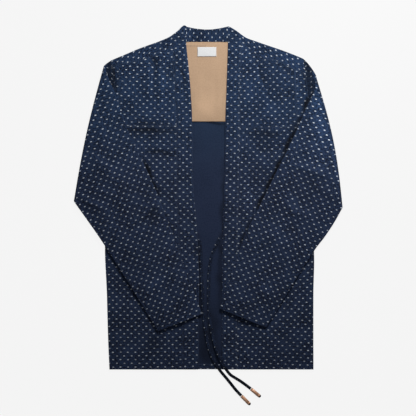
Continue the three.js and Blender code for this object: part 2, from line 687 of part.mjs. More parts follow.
for (const [name, route] of Object.entries(TIE_ROUTES)) {
  const path = new THREE.CatmullRomCurve3(route.map((p) => new THREE.Vector3(...p)));
  const options = { steps: TIE.steps, extrudePath: path, bevelEnabled: false };
  add(name, new THREE.ExtrudeGeometry(tieSection(), options), MATERIALS.indigo);
}

/** A crimped metal end: a flattened tube with a rounded rim at each end and an open tip. */
function agletGeometry() {
  const { length, radius, bore, boreDepth } = AGLET;
  const rim = 0.6;
  const profile = [
    [0, 0],
    [radius - rim, 0],
    [radius, rim],
    [radius, length - rim],
    [radius - rim, length],
    [bore, length],
    [bore, length - boreDepth],
    [0, length - boreDepth],
  ].map(([x, y]) => new THREE.Vector2(x, y));
  return new THREE.LatheGeometry(profile, AGLET.sides).scale(1, 1, AGLET.flatten);
}

for (const [name, { x, y, z, towards }] of Object.entries(AGLETS)) {
  add(name, agletGeometry(), MATERIALS.copper);
  const mesh = jacket.getObjectByName(name);
  mesh.position.set(x, y, z);
  mesh.rotation.z = Math.atan2(towards[1], towards[0]) - Math.PI / 2;
}

export default jacket;
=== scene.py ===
"""A noragi jacket laid flat: indigo cotton with a repeat of pale dashes, its sleeves turned over its fronts.

The jacket lies on the surface z = 0. +X is the wearer's left, +Y runs from the hem to the collar and +Z
points up. Tables and surface functions are in millimetres; meshes, cords and cloth sizes are in metres.
"""

import logging
from dataclasses import dataclass, field
from enum import Enum
from functools import cached_property
from typing import Any, Callable, Sequence

import bpy
import numpy as np
from bpy.types import ID, Material, Node, NodeSocket, NodeTree, Object
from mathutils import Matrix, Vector


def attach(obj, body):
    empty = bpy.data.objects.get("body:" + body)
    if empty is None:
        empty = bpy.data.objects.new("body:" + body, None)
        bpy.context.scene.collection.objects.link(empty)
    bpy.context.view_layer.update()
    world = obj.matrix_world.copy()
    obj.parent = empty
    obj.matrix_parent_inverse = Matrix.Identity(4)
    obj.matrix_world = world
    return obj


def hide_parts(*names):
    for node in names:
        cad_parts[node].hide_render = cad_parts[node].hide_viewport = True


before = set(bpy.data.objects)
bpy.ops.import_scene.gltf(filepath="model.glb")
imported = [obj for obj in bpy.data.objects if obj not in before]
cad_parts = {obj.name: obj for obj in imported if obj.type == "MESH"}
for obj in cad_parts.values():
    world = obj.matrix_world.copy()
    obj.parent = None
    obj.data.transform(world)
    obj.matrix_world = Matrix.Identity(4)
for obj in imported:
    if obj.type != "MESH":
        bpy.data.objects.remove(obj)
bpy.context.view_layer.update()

LOG = logging.getLogger("noragi")

Array = np.ndarray
Rows = Sequence[tuple[float, ...]]
Colour = tuple[float, float, float]
Line = Callable[[Array], Array]

MM = 0.001  # metres in a millimetre

# ---------------------------------------------------------------- driving sizes, in millimetres
CLOTH = 1.2  # one layer of the woven cotton
LINING = 1.0  # the thinner yoke lining and the label
BAND = 2.6  # the collar band, folded double over its interlining
BAND_ROUNDING = 0.45  # share of that thickness lost at its edges
GAP = 0.3  # between layers
SEAM = 0.15  # how far pieces run into each other at a seam
HEM_Y = -395.4  # lower edge of the body
HEM_TURN = 12.5  # depth of the hem turned up inside the back
BACK_SEAM_Y = 173.8  # back yoke to back
NECK_Y = 357.4  # seam of the back neck
UNDERARM_Y = 37.7
BAND_END_Y = 46.0  # lower end of the armhole bands
YOKE_HALF = 196.0  # half width over which the yoke lining lifts what lies on it
RISE = 18.0  # length over which cloth climbs onto what lies under it
CLEAR = 24.0  # and how far before its edge the climb is over
NECK_RISE = 16.0  # length over which the collar's back climbs to its front parts
LAYER = CLOTH + GAP
YOKE_LIFT = LINING + GAP
HEM_LIFT = LAYER
FOLD_Z = 3.8  # height of the axis that each sleeve is turned over about
ROLL = 2 * FOLD_Z  # length of sleeve spent on the roll
SLEEVE_PUFF = 3.6  # how far a turned sleeve's upper layer stands off its lower one
TUBE = 2 * CLOTH + GAP  # thickness of a flattened sleeve
NECK_CORNERS = (-52.0, 48.0)  # x of the back neck's two corners
STEP = 3.0  # spacing of the cloth meshes
RIM = 0.9  # distance over which a wall of cloth rounds off at its edge
LINING_RIM = 0.8
BAND_RIM = 1.3
EDGE_SHARE = 0.3  # share of its thickness that a wall has at its very edge
CALM = 16.0  # distance over which the back's folds die away towards an edge
FAR = 99.0  # stands for a distance from an edge that isn't there
INSIDE = 9.0  # and for one that is clear of the rubbed and painted-highlight colour of the edges
HEM_ROW = -5  # the row of a cloth's mesh that the stitches of its hem follow
FLATTENING = 0.72  # height of a metal end over its width


def lerp(a: Any, b: Any, t: Any) -> Any:
    """Returns the point a share t of the way from a to b."""
    return a + (b - a) * t


def smoothstep(s: Any, low: float, high: float) -> Array:
    """Returns 0 below low, 1 above high, and 3t² − 2t³ between them."""
    t = np.clip((np.asarray(s, float) - low) / (high - low), 0, 1)
    return t * t * (3 - 2 * t)


def stations(length: float, step: float = STEP, rim: Sequence[float] = (0.25, 0.7, 1.5)) -> Array:
    """Shares of a length from 0 to 1: close together at both ends, then evenly spaced.

    Args:
        length: The length in millimetres.
        step: The even spacing.
        rim: Distances from each end of the extra stations.

    Returns:
        The shares, in order.
    """
    ends = np.array([0.0, *rim])
    middle = np.linspace(rim[-1] + step / 2, length - rim[-1] - step / 2, max(2, round(length / step)))
    return np.concatenate([ends, middle, length - ends[::-1]]) / length


def from_edges(u: Array, width: Any, v: Array, length: Any) -> Array:
    """Returns distances from the nearest edge of a piece at shares u of its width and v of its length."""
    return np.minimum(np.minimum(u, 1 - u) * width, np.minimum(v, 1 - v) * length)


def lengths_along(points: Array) -> Array:
    """Returns the length of a line of points up to each of them."""
    return np.concatenate([[0], np.cumsum(np.linalg.norm(np.diff(points, axis=0), axis=1))])


def unit(vectors: Array) -> Array:
    """Returns vectors of length 1."""
    return vectors / np.linalg.norm(vectors, axis=-1, keepdims=True)


def circle(count: int) -> tuple[Array, Array]:
    """Returns the cosines and sines of evenly spaced angles, once round."""
    angle = np.arange(count) * 2 * np.pi / count
    return np.cos(angle), np.sin(angle)


# ---------------------------------------------------------------- lines of the outline
@dataclass(frozen=True)
class Curve:
    """A smooth function through rows (s, value): cubic Hermite pieces, level past both ends."""

    rows: Rows

    def __call__(self, s: Any) -> Array:
        """Returns the values at s.

        Each piece is v0·(2t³ − 3t² + 1) + v1·(3t² − 2t³) + span·(m0·(t³ − 2t² + t) + m1·(t³ − t²)), where
        a slope m is the rise between a row's two neighbours over their distance.
        """
        knots, values = np.array(self.rows, float).T
        slopes = np.empty_like(values)
        slopes[1:-1] = (values[2:] - values[:-2]) / (knots[2:] - knots[:-2])
        slopes[0] = (values[1] - values[0]) / (knots[1] - knots[0])
        slopes[-1] = (values[-1] - values[-2]) / (knots[-1] - knots[-2])
        s = np.clip(np.asarray(s, float), knots[0], knots[-1])
        i = np.clip(np.searchsorted(knots, s) - 1, 0, len(knots) - 2)
        span = knots[i + 1] - knots[i]
        t = (s - knots[i]) / span
        ends = values[i] * (2 * t**3 - 3 * t**2 + 1) + values[i + 1] * (3 * t**2 - 2 * t**3)
        return ends + span * (slopes[i] * (t**3 - 2 * t**2 + t) + slopes[i + 1] * (t**3 - t**2))


@dataclass(frozen=True)
class Route:
    """A smooth line through points of the plan or of space, walked by its own length."""

    points: Rows
    pieces: int = 400

    def __call__(self, share: Array) -> Array:
        """Returns the points at the given shares of the length, coordinates last.

        Each coordinate is a Curve over the length of the chords, and the line is then measured in short
        pieces, so that equal shares are equal lengths.
        """
        fine, lengths = self._measured
        wanted = np.clip(share, 0, 1) * lengths[-1]
        return np.stack([np.interp(wanted, lengths, axis) for axis in fine], axis=-1)

    @cached_property
    def _measured(self) -> tuple[Array, Array]:
        """The line's coordinates at short steps, and the length up to each."""
        points = np.array(self.points, float)
        chords = lengths_along(points)
        steps = np.linspace(0, chords[-1], self.pieces + 1)
        fine = np.array([Curve(tuple(zip(chords, axis)))(steps) for axis in points.T])
        return fine, lengths_along(fine.T)

    @property
    def length(self) -> float:
        """The line's length."""
        return float(self._measured[1][-1])


@dataclass(frozen=True)
class Grain:
    """How the dashes lie on a piece: one sits at (x, y), and they point along the tilt, in degrees."""

    x: float
    y: float
    tilt: float

    def cut(self, x: Array, y: Array) -> Array:
        """Returns the places of points on the cut cloth: along the dashes, and across them."""
        c, s = np.cos(np.radians(self.tilt)), np.sin(np.radians(self.tilt))
        return np.stack([(x - self.x) * c + (y - self.y) * s, (y - self.y) * c - (x - self.x) * s], axis=-1)


@dataclass(frozen=True)
class SleeveLines:
    """One sleeve's plan before it is turned over: its upper and lower edges up to the fold and past it."""

    bow: float
    top_before: Route
    top_after: Route
    under_before: Route
    under_after: Route

    @property
    def fold(self) -> tuple[Array, Array]:
        """The upper and the lower end of the fold."""
        return np.array(self.top_after.points[0]), np.array(self.under_after.points[0])


@dataclass(frozen=True)
class Outline:
    """Where the pieces of one side end. Edges are x over y; lines that run across are y over x."""

    name: str
    side: int
    yoke_seam_y: float
    opening: Curve
    collar_seam: Curve
    armhole: Curve
    band_inner: Curve
    side_seam: Curve
    shoulder: Curve
    forward_seam: Curve
    collar_top: Curve
    sleeve: SleeveLines

    def body(self, y: Array) -> Array:
        """Returns the body's outer edge: the armhole above the underarm and the side seam below it."""
        return np.where(np.asarray(y) > UNDERARM_Y, self.armhole(y), self.side_seam(y))


RIGHT = Outline(
    name="right",
    side=-1,
    yoke_seam_y=164.2,
    opening=Curve(((-395.4, -22.2), (-268, -20.9), (-132, -21.6), (-68, -25.9), (5, -32), (49, -34.5),
                   (176, -36.4), (241, -39.6), (300, -44.6), (357, -50.2), (392, -49.4))),
    collar_seam=Curve(((-395.4, -58.6), (-268, -58.6), (-144, -65.5), (-6, -71.3), (109, -72.4),
                       (201, -73.6), (270, -77), (323, -79.2), (372.6, -82.8), (396, -82.8))),
    armhole=Curve(((37.7, -231.8), (132, -217.3), (235, -214.4), (274, -217.8), (315, -223.1))),
    band_inner=Curve(((46, -222), (132, -207), (235, -203.5), (316, -203.5))),
    side_seam=Curve(((-395.4, -226.4), (-321, -229.8), (-219, -232.6), (-111, -236.9), (37.7, -230.2))),
    shoulder=Curve(((-223.1, 315), (-208, 321.3), (-185, 330.8), (-162, 340.6), (-139, 349.2),
                    (-116, 357.3), (-93, 366.8), (-82.8, 372.6))),
    forward_seam=Curve(((-223.1, 299.5), (-214.4, 302.9), (-176.2, 310.7), (-146.3, 317.2), (-122.4, 325.7),
                        (-110.4, 334), (-91.3, 341.3), (-78, 347))),
    collar_top=Curve(((-82.8, 372.6), (-70.1, 382), (-58.6, 393.2), (-54.5, 395.3), (-49, 393))),
    sleeve=SleeveLines(
        bow=5.5,
        top_before=Route(((-223.1, 315), (-232, 308.8), (-239.2, 302.2))),
        top_after=Route(((-239.2, 302.2), (-288.4, 256.7), (-344.5, 196.6), (-439.1, 119.1), (-487.4, 75.7),
                         (-684.9, -118.7))),
        under_before=Route(((-231.8, 37.7), (-308.2, -8.3))),
        under_after=Route(((-308.2, -8.3), (-414.7, -69.9), (-610, -196.9))),
    ),
)
LEFT = Outline(
    name="left",
    side=1,
    yoke_seam_y=161.2,
    opening=Curve(((-395.4, 32.2), (-259, 32.2), (-86, 33.3), (17, 36.8), (176, 39.8), (270, 43.2),
                   (357, 46), (392, 46))),
    collar_seam=Curve(((-395.4, 66.7), (-213, 66.7), (-98, 67.8), (17, 70.1), (155, 72.4), (247, 72.4),
                       (339, 75.2), (375.6, 75), (396, 75))),
    armhole=Curve(((37.7, 230), (132, 231.4), (228.6, 231.6), (281.5, 225.4), (318.6, 219.6))),
    band_inner=Curve(((46, 219), (132, 207), (224, 201.9), (319.5, 197.5))),
    side_seam=Curve(((-395.4, 242.3), (-218, 242.4), (-123, 243.6), (37.7, 227.8))),
    shoulder=Curve(((75, 375.6), (88.5, 366.8), (111.5, 358.4), (134.5, 350.4), (165.6, 339.8), (192, 330),
                    (210, 322.8), (219.6, 318.6))),
    forward_seam=Curve(((73, 358), (85.6, 349.1), (97.5, 337.2), (111.8, 325.2), (134.5, 318.1),
                        (159.6, 313.3), (177.6, 303.6), (195.5, 295.3), (213.4, 286.1), (226, 281.5))),
    collar_top=Curve(((46, 393.2), (51, 391.3), (63.2, 384), (75, 375.6))),
    sleeve=SleeveLines(
        bow=9.3,
        top_before=Route(((219.6, 318.6), (227.5, 310.8), (238.6, 296.4), (247.3, 281.5), (250.7, 270))),
        top_after=Route(((250.7, 270), (283, 234.5), (313, 206), (357, 163.5), (411.2, 117.3), (466.7, 68.1),
                         (544.6, 0.7), (659.4, -128.8))),
        under_before=Route(((230, 37.7), (309.2, -22.4))),
        under_after=Route(((309.2, -22.4), (342.5, -48.5), (374, -69.5), (407.3, -89), (577.5, -210.2))),
    ),
)
BACK_COLLAR_TOP = Curve(((-50, 392.2), (-26.4, 388), (0, 386), (21.8, 388.1), (46, 392.6)))


def on_back(x: Array, y: Array) -> Array:
    """Returns the underside of what lies on the back: up over the yoke lining and over the turned hem."""
    over_lining = smoothstep(y, BACK_SEAM_Y - CLEAR - RISE, BACK_SEAM_Y - CLEAR)
    beside_lining = smoothstep(np.abs(x), YOKE_HALF, YOKE_HALF + RISE)
    clear_of_hem = HEM_Y + HEM_TURN + CLEAR
    over_hem = 1 - smoothstep(y, clear_of_hem, clear_of_hem + RISE)
    return LAYER + YOKE_LIFT * over_lining * (1 - beside_lining) + HEM_LIFT * over_hem


def neck_base(x: Array, y: Array) -> Array:
    """Returns the underside of the collar's back, which rises to its front parts at both ends."""
    inside = np.minimum(x - RIGHT.opening(y), LEFT.opening(y) - x)
    return (LAYER + YOKE_LIFT - GAP) * (1 - smoothstep(inside, 0, NECK_RISE))


# ---------------------------------------------------------------- creases, waves and painted light and shade
@dataclass(frozen=True)
class Crease:
    """A soft ridge along a line in plan from (x0, y0) to (x1, y1), or a trough where height is negative.

    Its section is height·exp(−(d/w)²), where w is width·(1 + lean) on the line's right hand and
    width·(1 − lean) on its left, and along its length it is 0.45 + 0.55·sin(π·share) as high.
    """

    x0: float
    y0: float
    x1: float
    y1: float
    width: float
    height: float
    lean: float = 0.0

    def __call__(self, x: Array, y: Array) -> Array:
        """Returns the crease's height at points of the plan."""
        dx, dy = self.x1 - self.x0, self.y1 - self.y0
        share = np.clip(((x - self.x0) * dx + (y - self.y0) * dy) / (dx * dx + dy * dy), 0, 1)
        off_x, off_y = x - self.x0 - share * dx, y - self.y0 - share * dy
        width = self.width * (1 + self.lean * np.sign(off_x * dy - off_y * dx))
        rounded = 0.45 + 0.55 * np.sin(np.pi * share)
        return self.height * np.exp(-(off_x**2 + off_y**2) / width**2) * rounded


def summed(creases: Sequence[Crease], x: Array, y: Array) -> Array:
    """Returns the sum of creases at points of the plan."""
    return sum((crease(x, y) for crease in creases), np.zeros(np.broadcast(x, y).shape))


@dataclass(frozen=True)
class Waves:
    """Gentle waves of laid cloth: a sum of plane waves with seeded directions, lengths and phases."""

    seed: int
    length: float
    height: float
    count: int = 9

    def __call__(self, x: Array, y: Array) -> Array:
        """Returns the waves' height at points of the plan."""
        rng = np.random.default_rng(self.seed)
        total = np.zeros(np.broadcast(x, y).shape)
        for _ in range(self.count):
            angle, phase = rng.uniform(0, 2 * np.pi, 2)
            number = 2 * np.pi / (self.length * rng.uniform(0.6, 1.8))
            total += np.sin(number * (x * np.cos(angle) + y * np.sin(angle)) + phase)
        return self.height * total / np.sqrt(self.count)


@dataclass(frozen=True)
class Relief:
    """What stands up on a piece: its creases, its own waves, and puckers beside its seams.

    Its painted shading is written like creases, but its heights are changes of tone: up to 1 is the
    brightest painted light, and down to −1 is painted shade as deep as that in a fold.
    """

    creases: tuple[Crease, ...] = ()
    painted_shading: tuple[Crease, ...] = ()
    waves: Waves = Waves(1, 70, 0.22)
    pucker: Waves = Waves(2, 15, 0.14)
    wobble: float = 3.0  # how far its creases are shifted
    waves_from: float = 25.0  # the waves die away over this distance towards an edge
    pucker_depth: float = 12.0  # and the puckers over this one away from it
    ridge_shading_and_rub: float = 0.06  # painted light gained by each millimetre of a ridge, and painted shade in a trough; it stands also for rubbing
    dye: Waves = Waves(7, 45, 0.05)

    def __call__(self, x: Array, y: Array, edge: Array) -> Array:
        """Returns the height at points of the plan that lie the given distance from the piece's edge.

        Creases are read at points shifted by slow waves, so that none is straight.
        """
        total = self._shifted(self.creases, x, y)
        total = total + self.waves(x, y) * (1 - np.exp(-((edge / self.waves_from) ** 2)))
        return total + self.pucker(x, y) * np.exp(-edge / self.pucker_depth)

    def tone(self, x: Array, y: Array) -> Array:
        """Returns the change of tone: painted shading, the creases' painted light and rubbing, and uneven
        dye.
        """
        ridge_shading_and_rub = self.ridge_shading_and_rub * self._shifted(self.creases, x, y) + self.dye(x, y)
        return np.clip(ridge_shading_and_rub + self._shifted(self.painted_shading, x, y), -1, 1)

    def _shifted(self, creases: tuple[Crease, ...], x: Array, y: Array) -> Array:
        """The sum of creases, read at shifted points."""
        return summed(creases, x + Waves(5, 60, self.wobble)(x, y), y + Waves(6, 60, self.wobble)(x, y))


def crease_table(rows: dict[str, Sequence[tuple[float, ...]]]) -> dict[str, tuple[Crease, ...]]:
    """Returns each piece's creases, from rows of their values in the order of the class."""
    return {name: tuple(Crease(*row) for row in piece) for name, piece in rows.items()}


CREASES = crease_table({
    "front_yoke_right": (
        (-103, 330, -107, 200, 9, 2.6, 0.2), (-136, 312, -131, 215, 9, 2.0, -0.2),
        (-120, 318, -121, 225, 5, -1.0), (-170, 186, -95, 180, 8, 1.5, 0.2),
        (-196, 290, -168, 250, 11, 0.9), (-185, 240, -160, 205, 12, 0.7),
    ),
    "front_yoke_left": (
        (93, 328, 150, 180, 9, 2.8, 0.25), (90, 268, 104, 198, 9, 2.0), (112, 320, 118, 250, 6, -0.8),
        (150, 300, 186, 270, 9, 0.9, 0.2), (130, 245, 185, 215, 10, 0.7),
    ),
    "front_right": (
        (-152, 112, -80, 107, 8, 1.7, -0.3), (-96, 44, -76, 38, 7, 1.4, -0.3),
        (-150, 150, -100, 140, 9, 0.9), (-130, 78, -86, 66, 10, 0.8), (-96, -20, -80, -70, 11, 0.9),
        (-215, -330, -120, -296, 13, 1.6, 0.2), (-96, -300, -84, -376, 10, 1.5, 0.2),
        (-170, -376, -140, -310, 12, 1.0), (-222, -250, -200, -300, 10, 1.2),
    ),
    "front_left": (
        (84, 128, 150, 62, 12, 1.6, 0.3), (84, 16, 110, -44, 11, 1.6, 0.2), (90, 92, 120, 84, 8, 0.9),
        (80, -60, 92, -120, 9, 1.2), (100, -290, 180, -352, 13, 1.8, 0.2),
        (150, -296, 222, -330, 12, 1.4), (76, -330, 96, -385, 9, 1.1), (205, -250, 232, -290, 11, 1.2),
    ),
    "collar_right": ((-62, 302, -50, 252, 5, -0.8, 0.2), (-66, 60, -44, 40, 8, 0.5)),
    "collar_left": ((50, 300, 66, 262, 7, 0.5), (44, -90, 58, -120, 8, 0.5)),
    "sleeve_right": (
        (-300, 4, -236, -26, 10, 3.2, 0.3), (-268, 96, -212, 40, 13, 2.6, 0.2),
        (-286, 132, -226, 118, 9, 1.5, -0.2), (-262, 210, -240, 140, 10, 1.6),
        (-250, 22, -196, -14, 9, 1.7, 0.2), (-180, -62, -112, -16, 11, 2.2, -0.2),
        (-232, -64, -176, -96, 12, 1.6, 0.2), (-196, -122, -136, -104, 10, 1.3),
        (-142, -218, -82, -160, 10, 2.6, 0.2), (-120, -138, -70, -128, 9, 1.4),
        (-150, -250, -118, -226, 8, 1.4), (-70, -246, -40, -190, 8, 1.8),
    ),
    "sleeve_left": (
        (192, 76, 282, 46, 12, 3.4, -0.3), (206, 112, 252, 108, 10, 1.6, -0.2),
        (252, 200, 268, 132, 12, 1.6), (228, 160, 276, 138, 10, 1.2), (168, -8, 238, -54, 12, 2.8, 0.2),
        (236, 22, 296, 4, 10, 1.8, 0.2), (146, -96, 208, -126, 11, 1.6),
        (118, -110, 178, -68, 11, 2.2, -0.2), (84, -150, 120, -170, 9, 1.4),
        (106, -190, 152, -232, 10, 2.4, 0.2), (60, -214, 84, -240, 8, 1.5),
    ),
    "yoke_lining": (
        (-16, 300, -22, 180, 7, 0.35, 0.3), (6, 262, 10, 176, 6, 0.3, -0.3),
        (27, 300, 26, 190, 7, 0.35, 0.3), (-34, 250, -30, 180, 6, 0.3), (-24, 232, 22, 240, 12, 0.3),
    ),
    "back": ((-30, 60, -24, -190, 10, 0.22), (24, 120, 12, -120, 9, 0.2), (-40, 165, 40, 168, 8, 0.2)),
    "underside": (
        (-190, 120, -60, 60, 14, 0.7, 0.2), (-150, -60, 40, -20, 12, 0.6),
        (60, 90, 190, 130, 13, 0.7, -0.2), (-210, -200, -90, -240, 12, 0.6),
        (-20, -150, 150, -210, 15, 0.7, 0.2), (100, -290, 225, -330, 11, 0.6),
        (-180, -340, -70, -310, 10, 0.5), (-150, 300, -100, 200, 12, 0.6), (140, 310, 110, 215, 11, 0.6),
    ),
})
# Painted light and shade of each piece, as creases of tone: pools of light, and painted shadows such as
# those along the sleeves' and collars' edges.
PAINTED_SHADING = crease_table({
    "armhole_band_left": (
        (254, 274, 211, 180, 8, -0.95), (211, 180, 151, 50, 8, -0.9), (226, 300, 224, 240, 7, -0.55),
    ),
    "armhole_band_right": ((-221, 306, -216, 242, 8, -0.9), (-212, 238, -194, 172, 3, 0.7)),
    "back_yoke": (
        (-84, 362, -112, 345, 14, -0.35), (70, 362, 100, 346, 14, -0.32), (120, 343, 165, 322, 10, -0.22),
    ),
    "front_yoke_right": (
        (-104, 325, -106, 205, 7, 0.35), (-134, 320, -131, 215, 7, 0.3), (-120, 322, -119, 225, 6, -0.4),
        (-178, 172, -84, 168, 7, -0.45), (-150, 340, -96, 300, 9, -0.3),
        (-196, 230, -160, 190, 12, -0.25), (-208, 222, -194, 172, 3, 0.7),
        (-150, 316, -104, 300, 20, -0.2),
    ),
    "front_yoke_left": (
        (92, 326, 148, 178, 8, 0.35), (90, 250, 98, 200, 7, 0.3), (112, 318, 128, 262, 8, -0.14),
        (92, 343, 152, 309, 8, -0.2), (150, 309, 202, 290, 9, -0.2), (104, 232, 128, 176, 8, -0.15),
        (254, 274, 211, 180, 8, -0.95), (211, 180, 151, 50, 8, -0.9), (120, 330, 150, 200, 50, -0.34),
        (193, 300, 196, 200, 12, -0.25),
    ),
    "front_right": (
        (-182, 152, -82, 156, 9, -0.75), (-148, 104, -74, 100, 6, -0.6), (-96, 36, -76, 31, 5, -0.4),
        (-160, 120, -90, 128, 9, 0.2), (-220, -320, -100, -380, 22, -0.2),
        (-96, -300, -84, -376, 7, 0.25), (-150, 90, -114, 10, 6, -0.95), (-136, 56, -120, -110, 20, -0.2),
        (-142, -316, -108, -346, 22, -0.4), (-122, -284, -90, -289, 8, 0.3),
    ),
    "front_left": (
        (92, 36, 96, -44, 15, 0.6), (211, 180, 151, 50, 7, -0.85), (160, 72, 80, -98, 7, -0.9),
        (192, -225, 180, -262, 9, -0.4), (162, -318, 202, -346, 22, -0.35), (84, -90, 66, -140, 5, -0.5),
        (124, 160, 134, 96, 44, -0.3), (84, 150, 170, 146, 7, -0.35), (110, 82, 150, 30, 10, -0.3),
        (120, -330, 230, -380, 22, -0.2), (100, -290, 180, -345, 8, 0.25),
    ),
    "collar_right": (
        (-58, 384, -70, 352, 16, -0.4), (-66, 312, -50, 250, 4, -0.55), (-62, 330, -46, 262, 4, 0.25),
        (-27, -80, -23, -180, 3, -0.5),
    ),
    "collar_left": (
        (52, 384, 70, 352, 17, -0.45), (48, 320, 60, 262, 6, -0.25), (36, 40, 35, -140, 3, -0.35),
    ),
    "sleeve_right": (
        (-302, -2, -238, -32, 6, -0.6), (-212, 238, -194, 172, 3, 0.7), (-136, 56, -120, -110, 20, -0.3),
        (-268, 190, -244, 150, 14, 0.3), (-262, 84, -214, 30, 8, -0.35), (-284, 118, -230, 106, 6, -0.35),
        (-182, -72, -116, -26, 7, -0.35), (-94, -206, -50, -250, 8, -0.35),
        (-150, -228, -86, -172, 8, 0.25),
    ),
    "sleeve_left": (
        (248, 240, 270, 80, 22, 0.6), (252, 262, 272, 196, 10, 0.6), (206, 120, 262, 70, 16, 0.3),
        (278, 168, 306, 10, 6, 0.9), (134, -118, 160, -176, 15, 0.35), (212, 46, 288, -4, 17, -0.45),
        (172, 12, 226, -18, 9, 0.3), (190, -30, 236, -62, 9, -0.3), (150, -76, 244, -104, 9, 0.35),
        (150, -108, 184, -158, 9, -0.3), (106, -190, 150, -228, 9, 0.25),
    ),
    "collar_back": ((-50, 376, 46, 376, 40, -0.45),),
    "yoke_lining": (
        (-40, 345, -33, 180, 4, -0.14), (43, 345, 38, 180, 4, -0.16), (-10, 320, -14, 180, 7, 0.05),
        (18, 300, 20, 178, 6, -0.06), (-40, 176, 38, 176, 3, -0.1), (-24, 322, 20, 322, 4, -0.1),
        (0, 250, 0, 180, 45, 0.36),
    ),
    "back": (
        (36, 90, 33, -120, 7, -0.5), (28, -90, 30, -250, 9, -0.55), (-26, -84, -18, -270, 8, -0.75),
        (-30, 140, -34, 20, 5, -0.25), (0, -250, 2, -400, 34, -0.6), (-6, 150, -8, 60, 14, 0.2),
        (-44, 171, 44, 171, 3, -0.8),
    ),
})


# ---------------------------------------------------------------- meshes
@dataclass
class Shell:
    """A closed wall of cloth between two grids of points, its right side and its wrong side.

    Attributes:
        outer: Points of the right side, rows by columns by 3, in millimetres.
        inner: Points of the wrong side.
        cut: Their places on the cut cloth, rows by columns by 2.
        edge: Distance from the piece's nearest edge.
        tone: Change of tone of the right side, from −1 to 1: painted light and shade, with uneven dye.
        wrap: Whether the last column joins the first.
        keep: Which cells are cloth; all of them if it is None.
    """

    outer: Array
    inner: Array
    cut: Array
    edge: Array
    tone: Array | float = 0.0
    wrap: bool = False
    keep: Array | None = None

    def flat_size(self) -> tuple[tuple[float, float], float]:
        """Returns the cut's width and length in metres, and its area: the sum of the cut's cells."""
        cut = self._closed(self.cut)
        p, q = cut[1:, 1:] - cut[:-1, :-1], cut[1:, :-1] - cut[:-1, 1:]
        cells = np.abs(p[..., 0] * q[..., 1] - p[..., 1] * q[..., 0]) / 2
        if self.keep is not None:
            cells = cells * self.keep
        width, length = np.ptp(self.cut.reshape(-1, 2), axis=0) * MM
        sheets = 2 if self.wrap else 1  # a flattened tube is cut twice as wide as it lies
        return (float(width * sheets), float(length)), float(cells.sum()) * MM * MM

    @classmethod
    def level(cls, x: Array, y: Array, z: Array, half: Array, cut: Array, edge: Array,
              tone: Array | float = 0.0) -> "Shell":
        """Returns a wall that lies level about the height z, with half its thickness on either side."""
        return cls(np.stack([x, y, z + half], -1), np.stack([x, y, z - half], -1), cut, edge, tone)

    def _closed(self, grid: Array) -> Array:
        """Returns a grid with its first column repeated at the end, if it wraps."""
        return np.concatenate([grid, grid[:, :1]], axis=1) if self.wrap else grid

    def object(self, name: str, materials: Sequence[Material]) -> Object:
        """Returns the wall as an object.

        The right side and the rim take the first material, and the wrong side takes the second. Both sides
        are the same grid of quads, and the rim has one quad for each open edge of it.
        """
        rows, columns = self.outer.shape[:2]
        count = rows * columns
        ids = self._closed(np.arange(count).reshape(rows, columns))
        quads = np.stack([ids[:-1, :-1], ids[:-1, 1:], ids[1:, 1:], ids[1:, :-1]], axis=-1)
        quads = quads.reshape(-1, 4) if self.keep is None else quads[self.keep]
        starts, ends = quads.ravel(), np.roll(quads, -1, axis=1).ravel()
        is_open = ~np.isin(starts * count + ends, ends * count + starts)
        starts, ends = starts[is_open], ends[is_open]
        rim = np.column_stack([ends, starts, starts + count, ends + count])
        faces = np.concatenate([quads, rim, quads[:, ::-1] + count])
        sides = np.repeat([0, 0, 1], [len(quads), len(rim), len(quads)])
        points = np.concatenate([self.outer.reshape(-1, 3), self.inner.reshape(-1, 3)])
        cut = np.tile(self.cut.reshape(-1, 2), (2, 1))
        marks = {"edge": self.edge, "tone": self.tone + 0 * self.edge}
        marks = {key: np.tile(values.ravel(), 2) for key, values in marks.items()}
        return mesh_object(name, points, [faces], materials, cut, sides, marks)


